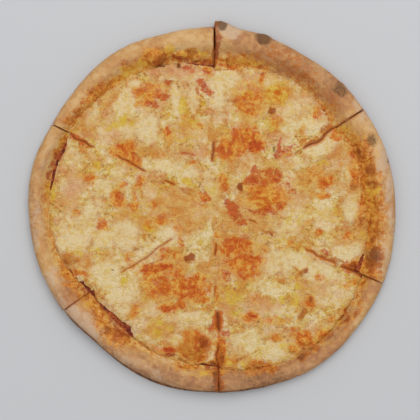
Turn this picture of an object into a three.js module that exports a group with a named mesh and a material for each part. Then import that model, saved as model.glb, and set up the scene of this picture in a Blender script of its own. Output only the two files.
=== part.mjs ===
// A round margherita pizza, cut into six slices that still lie together in the shape of the whole.
// Millimetres, +Z up. The origin is at the middle of the underside, on the surface that it rests on.
// Every slice is three solids: its baked dough with the raised rim, the tomato sauce spread inside
// the rim, and the melted cheese on the sauce. Layers and slices keep a hair of air between them.
import * as THREE from "three";
import { mergeVertices } from "three/addons/utils/BufferGeometryUtils.js";

// Heights, from the table up.
const DOUGH_HEIGHT = 4.2; // baked dough under the toppings
const SAUCE_HEIGHT = 1.0;
const CHEESE_HEIGHT = 2.6; // melted cheese, before its lumps and hollows
const LAYER_GAP = 0.2;
const SAUCE_FLOOR = DOUGH_HEIGHT + LAYER_GAP;
const CHEESE_FLOOR = SAUCE_FLOOR + SAUCE_HEIGHT + LAYER_GAP;

// The rim's section: a low belly outside, a crown, and a long slope down to the toppings.
const BELLY_HEIGHT = 6.5; // where the rim is widest
const CROWN_PLACE = 0.4; // share of the width from the belly in to the crown
const SLOPE_POWER = 0.85; // under 1 keeps the inner slope full near the crown
const FOOT_INSET = 7; // the underside leaves the table this far inside the belly
const RIM_LUMP = 1.0; // how far baking has swollen the rim's skin up and down
const RIM_LUMP_LENGTH = 37;

// The crisp toasted foot, where the base has spread past the belly along one side.
const SKIRT = { bearing: 250, halfWidth: 41, reach: 3.6 };
const LIP_WIDTH = 9; // degrees that the pushed-out lip takes to fade
const SKIRT_SHARES = [0.25, 1, 0.7]; // of its reach, down the rows from belly to table

// The knife's three strokes cross at the hub, a little off the middle.
const HUB = new THREE.Vector2(0.9, 3.9);
const HUB_KERF = 0.5;
// The round outline lies this far off the origin, as one slice's lip sticks out at the back.
const OUTLINE_Y = -2.6;

// The slices, anticlockwise. Bearings are in degrees from +X. Each list runs evenly across its
// slice: the rim's outer radius, width and crown height, and how far the cheese stops short of it.
// The lip is how far the slice's last corner is pushed out past its neighbour.
const SLICES = [
  {
    bearings: [32.7, 89.8],
    kerfs: [1.7, 1.9],
    lip: 5.4,
    radius: [158, 157.4, 156.4, 158.9, 159.6],
    rimWidth: [31, 26, 26, 31, 35],
    crown: [18.4, 17.6, 17.8, 18.8, 19.4],
    bare: [2.5, 0, 0, 0, 0],
  },
  {
    bearings: [89.8, 153.4],
    kerfs: [1.9, 1.1],
    lip: 0,
    radius: [159.6, 159.3, 162.1, 159.9, 159],
    rimWidth: [33, 27, 27, 23, 19],
    crown: [19.2, 18, 18, 17, 16],
    bare: [3, 4.5, 0.5, 0.5, 0],
  },
  {
    bearings: [153.4, 214.9],
    kerfs: [1.1, 1.3],
    lip: 0,
    radius: [159.1, 162, 160.4, 159.1, 157.8],
    rimWidth: [18, 18, 18, 20, 28],
    crown: [15.9, 15.2, 15.2, 16, 17.6],
    bare: [1, 3, 0.5, 0, 1.5],
  },
  {
    bearings: [214.9, 271.5],
    kerfs: [1.3, 1.5],
    lip: 0,
    radius: [156.9, 154.5, 155.3, 157.4, 159.2],
    rimWidth: [28, 25, 23, 24, 22],
    crown: [17.6, 17.4, 17, 17, 16.6],
    bare: [2.5, 4.5, 0, 0, 2],
  },
  {
    bearings: [271.5, 335.1],
    kerfs: [1.5, 1.1],
    lip: 0,
    radius: [159.6, 161.1, 163.9, 162.2, 161.6],
    rimWidth: [22, 18, 17, 16, 19],
    crown: [16.4, 15.4, 14.8, 14.8, 15.8],
    bare: [1, 0, 0, 0, 0.5],
  },
  {
    bearings: [335.1, 392.7],
    kerfs: [1.1, 1.7],
    lip: 0,
    radius: [161.6, 159.6, 159, 159.2, 158],
    rimWidth: [23, 24, 29, 27, 30],
    crown: [16, 16.8, 18.2, 17.8, 18.2],
    bare: [2.5, 0, 0, 0, 1.5],
  },
];

// Humps and hollows: middle, half length and half width, turn in degrees, and rise. The cheese
// has blown up into blisters, burst, or sunk thin over the sauce.
const CHEESE_RELIEF = [
  { at: [-15, -118], size: [15, 13], turn: 10, rise: 2.4 }, // the big browned blister
  { at: [-20, -41], size: [6.5, 6], turn: 0, rise: -2.0 }, // burst right down to the sauce
  { at: [-36, -64], size: [30, 21], turn: -38, rise: -1.0 },
  { at: [25, -37], size: [19, 17], turn: -40, rise: -0.9 },
  { at: [48, 18], size: [23, 15], turn: 15, rise: -0.9 },
  { at: [26, 84], size: [32, 16], turn: 80, rise: -0.8 },
  { at: [-53, 106], size: [16, 13], turn: 30, rise: -0.8 },
  { at: [-75, 52], size: [15, 10], turn: -50, rise: -0.8 },
  { at: [-83, 13], size: [18, 10], turn: 75, rise: -0.6 },
  { at: [-42, 4], size: [30, 18], turn: -12, rise: 0.7 },
  { at: [77, -66], size: [13, 10], turn: 0, rise: 0.9 },
  { at: [108, -84], size: [14, 9], turn: 40, rise: 0.8 },
  { at: [77, 78], size: [20, 12], turn: 50, rise: 0.8 },
  { at: [-100, -38], size: [20, 14], turn: 80, rise: 0.7 },
];
// The rim has its own blisters, and dents where the dough was pinched down.
const RIM_RELIEF = [
  { at: [-50, 133], size: [13, 9], turn: 20, rise: 1.6 },
  { at: [-111, 104], size: [13, 9], turn: 45, rise: -1.2 },
  { at: [47, 147], size: [9, 7], turn: -20, rise: 1.2 },
  { at: [108, 105], size: [10, 8], turn: -45, rise: 1.4 },
  { at: [139, 58], size: [12, 9], turn: -65, rise: -1.2 },
  { at: [141, -38], size: [14, 9], turn: 75, rise: 1.3 },
  { at: [128, -88], size: [13, 9], turn: 55, rise: -1.0 },
  { at: [76, -130], size: [13, 8], turn: 30, rise: 1.1 },
  { at: [34, -140], size: [12, 9], turn: 10, rise: 1.2 },
  { at: [-58, -128], size: [15, 9], turn: -25, rise: -1.3 },
  { at: [-98, -102], size: [12, 9], turn: -40, rise: 1.0 },
  { at: [-131, -42], size: [13, 9], turn: -70, rise: 1.3 },
  { at: [-146, 20], size: [14, 9], turn: 85, rise: -1.0 },
];
const SIDE_SAG = 0.55; // the cheese's height right at a cut or at its outer edge, as a share
const SAG_WIDTH = 6; // how far in from a cut the cheese slumps

// Mesh rows and columns.
const RIM_COLUMNS = 28;
const RIM_STEPS = [1, 0.93, 0.84, 0.7, 0.55, 0.4, 0.27, 0.15, 0.06, 0]; // slope's foot to belly
const UNDER_STEPS = [1 / 3, 2 / 3, 1]; // belly to table, as shares of a quarter turn
const CHEESE_ROWS = 24;
const SAUCE_COLUMNS = 20;
const WELD = 1e-3;

const { lerp, smoothstep, clamp, degToRad, radToDeg } = THREE.MathUtils;

// A smooth value across a slice from an evenly spaced list, for a share from 0 to 1.
function across(list, share) {
  const last = list.length - 1;
  const place = share * last;
  const left = Math.min(Math.floor(place), last - 1);
  const [a, b, c, d] = [-1, 0, 1, 2].map((k) => list[clamp(left + k, 0, last)]);
  const t = place - left;
  const bend = 2 * a - 5 * b + 4 * c - d + t * (3 * (b - c) + d - a);
  return b + 0.5 * t * (c - a + t * bend);
}

// 1 at the middle, falling smoothly to 0 at the half width.
function bump(distance, halfWidth) {
  return 0.5 + 0.5 * Math.cos(Math.PI * Math.min(1, Math.abs(distance) / halfWidth));
}

// Gentle unevenness from -1 to 1, as crossed waves of about the given length.
function uneven(x, y, length) {
  const k = (2 * Math.PI) / length;
  const waves = [
    Math.sin(k * (x + 0.31 * y) + 1.3),
    Math.sin(k * 1.27 * (y - 0.42 * x) + 4.1),
    Math.sin(k * 1.73 * (0.8 * x - 0.7 * y) + 2.2),
  ];
  return (waves[0] + waves[1] + waves[2]) / waves.length;
}

// How far the listed humps and hollows lift a spot.
function lift(relief, x, y) {
  let height = 0;
  for (const { at, size, turn, rise } of relief) {
    const [dx, dy] = [x - at[0], y - at[1]];
    const [c, s] = [Math.cos(degToRad(turn)), Math.sin(degToRad(turn))];
    const [along, over] = [c * dx + s * dy, c * dy - s * dx];
    height += rise * bump(Math.hypot(along / size[0], over / size[1]), 1);
  }
  return height;
}

// One slice's plan: its point and straight sides, and the rim's sizes at any share across it.
class Plan {
  constructor(sizes) {
    const { bearings, kerfs, radius } = sizes;
    this.sizes = sizes;
    const half = degToRad((bearings[1] - bearings[0]) / 2);
    const middle = degToRad((bearings[0] + bearings[1]) / 2);
    this.point = new THREE.Vector2(Math.cos(middle), Math.sin(middle))
      .multiplyScalar(HUB_KERF / 2 / Math.sin(half))
      .add(HUB);
    const [opensFirst, opensLast] = kerfs.map((kerf) => (kerf - HUB_KERF) / 2 / radius[0]);
    this.first = degToRad(bearings[0]) + opensFirst;
    this.last = degToRad(bearings[1]) - opensLast;
  }

  // The rim at a share across: its outward direction, its reach from the point, and its sizes.
  rim(share) {
    const { radius, rimWidth, crown, bare, lip } = this.sizes;
    const turn = lerp(this.first, this.last, share);
    const out = new THREE.Vector2(Math.cos(turn), Math.sin(turn));
    const pushed = lip * bump(radToDeg(this.last - turn), LIP_WIDTH);
    const wide = across(radius, share) + pushed;
    // The radius is from the outline's centre, but the slice's own rays start at its point.
    const along = this.point.dot(out);
    const reach = Math.sqrt(along ** 2 + wide ** 2 - this.point.lengthSq()) - along;
    return {
      out,
      reach,
      width: across(rimWidth, share),
      crown: across(crown, share),
      bare: Math.max(0, across(bare, share)),
      skirt: SKIRT.reach * bump(radToDeg(turn) - SKIRT.bearing, SKIRT.halfWidth),
    };
  }

  // A row of points across the slice. The placing function turns a rim into {distance, height}.
  row(columns, place) {
    return Array.from({ length: columns + 1 }, (_, i) => {
      const share = i / columns;
      const rim = this.rim(share);
      const { distance, height } = place(rim, share);
      const spot = this.spot(rim, distance);
      return new THREE.Vector3(spot.x, spot.y, height);
    });
  }

  // The spot at a distance from the slice's point, towards a rim.
  spot(rim, distance) {
    return rim.out.clone().multiplyScalar(distance).add(this.point);
  }

  // The slice's point at a height, as a row of its own.
  tip(height) {
    return [new THREE.Vector3(this.point.x, this.point.y, height)];
  }
}

// Triangles between two rows of any lengths, walking along both at an even pace.
function strip(near, far) {
  const corners = [];
  let i = 0;
  let j = 0;
  while (i + 1 < near.length || j + 1 < far.length) {
    const nearNext = (i + 1) / Math.max(1, near.length - 1);
    const farNext = (j + 1) / Math.max(1, far.length - 1);
    const nearIsDone = i + 1 >= near.length;
    const stepsFar = j + 1 < far.length && (nearIsDone || farNext <= nearNext);
    corners.push(near[i], far[j], stepsFar ? far[j + 1] : near[i + 1]);
    if (stepsFar) {
      j += 1;
    } else {
      i += 1;
    }
  }
  return corners;
}

// The flat cut face through one end of every row, facing the first or the last side.
function cutFace(outline, isFirst) {
  const tip = outline[0];
  const flat = outline.map((p) => new THREE.Vector2(Math.hypot(p.x - tip.x, p.y - tip.y), p.z));
  const corners = [];
  for (const [a, b, c] of THREE.ShapeUtils.triangulateShape(flat, [])) {
    const facesFirst = THREE.ShapeUtils.area([flat[a], flat[b], flat[c]]) > 0;
    const [second, third] = facesFirst === isFirst ? [b, c] : [c, b];
    corners.push(outline[a], outline[second], outline[third]);
  }
  return corners;
}

// A closed wedge from rows of points that run over its top, round its end and back underneath.
// The first and last rows are single points, one above the other.
function wedge(rows) {
  const corners = rows.slice(1).flatMap((row, i) => strip(rows[i], row));
  corners.push(...cutFace(rows.map((row) => row[0]), true));
  corners.push(...cutFace(rows.map((row) => row.at(-1)), false));
  const closed = mergeVertices(new THREE.BufferGeometry().setFromPoints(corners), WELD);
  closed.computeVertexNormals();
  return closed;
}

// A place on the rim's smooth skin. Step 0 is the belly and 1 the foot of the inner slope.
function rimSkin(rim, step) {
  if (step <= CROWN_PLACE) {
    const turn = ((step / CROWN_PLACE) * Math.PI) / 2;
    return {
      inset: CROWN_PLACE * rim.width * (1 - Math.cos(turn)),
      height: lerp(BELLY_HEIGHT, rim.crown, Math.sin(turn)),
    };
  }
  const down = (step - CROWN_PLACE) / (1 - CROWN_PLACE);
  const left = (0.5 + 0.5 * Math.cos(Math.PI * down)) ** SLOPE_POWER;
  return { inset: rim.width * step, height: lerp(DOUGH_HEIGHT, rim.crown, left) };
}

// The dough: flat under the toppings, over the puffed rim, and back along the table.
function dough(plan) {
  const rows = [plan.tip(DOUGH_HEIGHT)];
  for (const step of RIM_STEPS) {
    // The belly's edge and the slope's foot stay true, and the skin between them is lumpy.
    const isLumpy = Math.sin(Math.PI * step) ** 0.5;
    rows.push(
      plan.row(RIM_COLUMNS, (rim) => {
        const { inset, height } = rimSkin(rim, step);
        const distance = rim.reach - inset;
        const { x, y } = plan.spot(rim, distance);
        const lump = RIM_LUMP * uneven(x, y, RIM_LUMP_LENGTH) + lift(RIM_RELIEF, x, y);
        return { distance, height: Math.max(DOUGH_HEIGHT, height + isLumpy * lump) };
      }),
    );
  }
  UNDER_STEPS.forEach((step, i) => {
    const turn = (step * Math.PI) / 2;
    const inset = FOOT_INSET * (1 - Math.cos(turn));
    const height = BELLY_HEIGHT * (1 - Math.sin(turn));
    rows.push(
      plan.row(RIM_COLUMNS, (rim) => {
        const held = 1 - rim.skirt / SKIRT.reach;
        return { distance: rim.reach - held * inset + SKIRT_SHARES[i] * rim.skirt, height };
      }),
    );
  });
  rows.push(plan.tip(0));
  return wedge(rows);
}

// The sauce: a flat spread that stops where the rim's slope begins.
function sauce(plan) {
  const edgeAt = (height) =>
    plan.row(SAUCE_COLUMNS, (rim) => ({ distance: rim.reach - rim.width - LAYER_GAP, height }));
  const top = SAUCE_FLOOR + SAUCE_HEIGHT;
  return wedge([plan.tip(top), edgeAt(top), edgeAt(SAUCE_FLOOR), plan.tip(SAUCE_FLOOR)]);
}

// How far the cheese reaches from the slice's point.
function cheeseReach(rim) {
  return rim.reach - rim.width - rim.bare - 2 * LAYER_GAP;
}

// The cheese: an even net of points over the sauce, slumped at the cuts and at its outer edge.
function cheese(plan) {
  const rows = [plan.tip(CHEESE_FLOOR + CHEESE_HEIGHT * SIDE_SAG)];
  for (let r = 1; r <= CHEESE_ROWS; r += 1) {
    rows.push(
      plan.row(r, (rim, share) => {
        const edge = cheeseReach(rim);
        const distance = (edge * r) / CHEESE_ROWS;
        const { x, y } = plan.spot(rim, distance);
        const angle = Math.min(share, 1 - share) * (plan.last - plan.first);
        const inside = Math.min(distance * Math.sin(angle), edge - distance) / SAG_WIDTH;
        const sag = lerp(SIDE_SAG, 1, smoothstep(inside, 0, 1));
        const lumps = 0.45 * uneven(x, y, 43) + 0.3 * uneven(y, -x, 23);
        const thick = CHEESE_HEIGHT + lumps + lift(CHEESE_RELIEF, x, y);
        return { distance, height: CHEESE_FLOOR + sag * thick };
      }),
    );
  }
  rows.push(
    plan.row(CHEESE_ROWS, (rim) => ({ distance: cheeseReach(rim), height: CHEESE_FLOOR })),
    plan.tip(CHEESE_FLOOR),
  );
  return wedge(rows);
}

const LAYERS = [
  { name: "dough", shape: dough, color: 0xc6935c, roughness: 0.8 },
  { name: "sauce", shape: sauce, color: 0x9c3f1c, roughness: 0.45 },
  { name: "cheese", shape: cheese, color: 0xd9b377, roughness: 0.5 },
];

const pizza = new THREE.Group();
pizza.position.y = OUTLINE_Y;
SLICES.forEach((sizes, index) => {
  const plan = new Plan(sizes);
  const slice = new THREE.Group();
  for (const { name, shape, color, roughness } of LAYERS) {
    const finish = new THREE.MeshStandardMaterial({ color, roughness, metalness: 0 });
    const mesh = new THREE.Mesh(shape(plan), finish);
    mesh.name = `${name}_${index + 1}`;
    slice.add(mesh);
  }
  pizza.add(slice);
});

export default pizza;
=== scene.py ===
"""The looks of a round margherita pizza in six slices that still lie together as the whole.

Every solid of the frame, a dough, a sauce and a cheese for each slice, is dressed by a finer piece
of the same form: lumpy puffed crust, wet sauce, and melted cheese that has run together again over
most of the cuts. Sizes are in metres, apart from rows whose comment gives millimetres or squares
of the plan grid. Places on the pizza are given from its middle, x to the right and y to the back.
"""

import logging
import math
from collections.abc import Callable, Sequence
from dataclasses import dataclass, field
from enum import Enum

import bmesh
import bpy
import numpy as np
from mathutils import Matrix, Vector
from mathutils.bvhtree import BVHTree

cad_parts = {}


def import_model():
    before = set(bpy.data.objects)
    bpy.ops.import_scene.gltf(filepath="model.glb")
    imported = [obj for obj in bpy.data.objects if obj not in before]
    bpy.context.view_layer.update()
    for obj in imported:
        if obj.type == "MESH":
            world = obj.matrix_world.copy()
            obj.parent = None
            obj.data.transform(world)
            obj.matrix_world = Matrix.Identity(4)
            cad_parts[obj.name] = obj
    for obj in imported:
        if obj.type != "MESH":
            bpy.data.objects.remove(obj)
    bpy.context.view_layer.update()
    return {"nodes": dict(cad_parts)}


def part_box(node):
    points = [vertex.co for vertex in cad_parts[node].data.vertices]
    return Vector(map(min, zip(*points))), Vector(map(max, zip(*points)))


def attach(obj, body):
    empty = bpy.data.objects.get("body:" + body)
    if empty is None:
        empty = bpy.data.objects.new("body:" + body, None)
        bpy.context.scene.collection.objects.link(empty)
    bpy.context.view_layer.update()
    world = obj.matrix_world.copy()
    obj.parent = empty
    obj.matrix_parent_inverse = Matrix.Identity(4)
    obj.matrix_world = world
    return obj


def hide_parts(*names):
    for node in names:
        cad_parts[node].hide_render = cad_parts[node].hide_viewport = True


LOG = logging.getLogger("margherita")
BODY = "root"
MM = 0.001
MIDDLE = (0.0, -2.6 * MM)  # the round outline's middle, in the frame
LEVEL = np.array([1, 1, 0])  # times a point, drops it to the floor
SLICE_COUNT = 6
KERF_AT_HUB = 0.5  # width in mm of the frame's gaps where the cuts cross
RIM_REACH = 158 * MM  # how far from the hub a cut's stated kerf lies
GRID = 0.872  # a square of the plan grid that spots are placed on, in mm
GRID_MIDDLE = (213, 210)  # the round outline's middle on that grid, counted right and down
BLISTER_LIFT = 1.35 * MM  # height of a blister of strength 1
SPOT_FADE = (1.75, 0.5)  # shares of a spot's half size where it has faded out and where it is full
EDGE_WAVER = 4.4  # how far in mm the spots' edges waver
CAMERA_HEIGHT = 1.0
CAMERA_SHIFT = -2.6 * MM  # the camera's x from the pizza's middle
SEEN_LEVEL = 6.5 * MM  # height at which the plan keeps its true scale in that camera's view
WEIGHT_STEPS = 4  # steps that a vertex group's weights are rounded to
SCORCHED_SHADED_BEARING = 251  # middle of the rim's dark foot, burnt and painted shade, in degrees
SCORCHED_SHADED_SPAN = (44, 30)  # degrees from there to where it has faded out and to where it is full

Color = tuple[float, float, float, float]
Array = np.ndarray
Nodes = dict[str, bpy.types.Object]
Socket = bpy.types.NodeSocket
Tree = bpy.types.ShaderNodeTree


class Layer(Enum):
    """The three layers of a slice, by the first word of their frame nodes and their slots."""

    DOUGH = "dough"
    SAUCE = "sauce"
    CHEESE = "cheese"


class Tint(Enum):
    """What colours a spot of the baked surface. The value is the name of its mesh attribute."""

    TAN = "tan"  # broad and golden, where baking has begun
    PALE = "pale"  # smooth white mozzarella, or flour on the crust; two spots on blisters are painted highlights
    ROSY = "rosy"  # reddish grey, where the skin has dried; on the rim's front also painted shade
    YELLOW = "yellow"  # clear golden butterfat
    ORANGE = "orange"  # oil and tomato baked into the cheese
    RED = "red"  # tomato showing through
    BROWN = "brown"  # toasted; thin crescents under the cheese's blisters are painted shade
    CHAR = "char"  # burnt; one row on the rim's front is painted shade


@dataclass(frozen=True)
class Spot:
    """An oval spot: middle and half sizes in millimetres, strength (1 is full), turn in degrees."""

    x: float
    y: float
    long: float
    wide: float
    strength: float = 1.0
    turn: float = 0.0

    def measure(self, plan: Array) -> tuple[Array, Array]:
        """Gives how far places (N, 2) in mm lie along and across the spot, 1 at its edge."""
        turn = math.radians(self.turn)
        dx, dy = plan[:, 0] - self.x, plan[:, 1] - self.y
        along = (math.cos(turn) * dx + math.sin(turn) * dy) / self.long
        over = (math.cos(turn) * dy - math.sin(turn) * dx) / self.wide
        return along, over


def in_mm(*rows: tuple[float, ...]) -> tuple[Spot, ...]:
    """Makes spots from rows that give each one's values in order, its sizes in millimetres."""
    return tuple(Spot(*row) for row in rows)


def on_grid(*rows: tuple[float, ...]) -> tuple[Spot, ...]:
    """Makes spots from rows whose first four values are squares of the plan grid, y downwards."""
    across, down = GRID_MIDDLE
    return tuple(
        Spot((x - across) * GRID, (down - y) * GRID, long * GRID, wide * GRID, *rest)
        for x, y, long, wide, *rest in rows
    )


@dataclass(frozen=True)
class Opening:
    """A stretch of a cut where the cheese has not run together again.

    Attributes:
        start: Where it starts, in mm from the hub.
        end: Where it ends.
        width: The groove's width in mm.
        depth: Its depth.
        shift: How far it lies anticlockwise of the cut.
    """

    start: float
    end: float
    width: float
    depth: float
    shift: float = 0.0


@dataclass(frozen=True)
class Cut:
    """One straight cut from the hub to the rim.

    Attributes:
        bearing: Direction in degrees, anticlockwise from +X.
        kerf: Width in mm of the frame's own gap at the rim.
        rim_gap: Width in mm of the gap that shows on top of the crust.
        lip: How broad, roughly in mm, and how dark the band of painted shade beside that gap is.
        openings: Where the toppings stand open along it.
    """

    bearing: float
    kerf: float
    rim_gap: float
    lip: float
    openings: tuple[Opening, ...]

    @property
    def across(self) -> Array:
        """The level direction square to the cut, anticlockwise of it."""
        turn = math.radians(self.bearing)
        return np.array([-math.sin(turn), math.cos(turn), 0.0])


HUB = (0.9 * MM, 1.3 * MM)
CUTS = (
    Cut(32.7, 1.7, 0.25, 3.2, (Opening(78, 93, 0.8, 0.9), Opening(90, 130, 2.4, 2.4))),
    Cut(89.8, 1.9, 1.1, 4.4, (Opening(36, 58, 1.9, 2.4, 1.5), Opening(119, 136, 1.8, 2.2))),
    Cut(
        153.4,
        1.1,
        0.06,
        1.0,
        (
            Opening(18, 36, 0.7, 0.9),
            Opening(36, 52, 1.3, 1.8),
            Opening(64, 98, 0.9, 1.8),
            Opening(114, 143, 1.6, 2.4),
        ),
    ),
    Cut(214.9, 1.3, 0.15, 1.8, (Opening(42, 104, 0.8, 1.1, 2.4), Opening(128, 150, 2.0, 2.4))),
    Cut(
        271.5,
        1.5,
        0.45,
        3.0,
        (
            Opening(30, 46, 1.2, 1.8),
            Opening(66, 84, 0.8, 1.0),
            Opening(90, 112, 4.8, 2.4),
            Opening(118, 146, 1.8, 2.2),
        ),
    ),
    Cut(
        335.1,
        1.1,
        0.06,
        0.8,
        (
            Opening(28, 44, 1.0, 1.2),
            Opening(48, 64, 0.7, 0.9),
            Opening(84, 122, 1.0, 1.4),
            Opening(120, 150, 2.4, 2.6),
        ),
    ),
)

# How far the cheese reaches past the sauce, in mm at bearings in degrees. Below 0 the sauce shows.
CHEESE_REACH = (
    ((0, 1.5), (22, 2.0), (30, 0.5), (34, -0.8), (40, 0.8), (84, 0.8), (88, 1.0), (91, -2.2))
    + ((98, -2.2), (103, 0.5), (107, -1.4), (111, -1.4), (115, 1.0), (130, 2.0), (148, 1.5))
    + ((153, 0.3), (157, -3.4), (170, -3.4), (176, 0.4), (206, 1.0), (209, -2.6), (214, -4.2))
    + ((218, -1.0), (222, -3.4), (226, -5.6), (235, -5.6), (239, 0.0), (255, 3.0), (262, 1.0))
    + ((266, -2.2), (271, -2.6), (274, 2.0), (285, 2.5), (300, 1.0), (330, 1.0), (334.9, 1.0))
    + ((335.6, -4.2), (342, -3.8), (346, 1.0), (360, 1.5))
)

# How deep a gold the rim's inner slope has baked, 0 to 1 at bearings in degrees.
SLOPE_BAKING = (
    ((0, 0.9), (30, 0.8), (38, 0.35), (86, 0.4), (92, 0.7), (150, 0.6), (156, 0.2), (192, 0.2))
    + ((200, 0.8), (238, 0.8), (244, 0.2), (278, 0.15), (284, 0.2), (328, 0.1), (336, 0.9), (360, 0.9))
)

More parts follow.
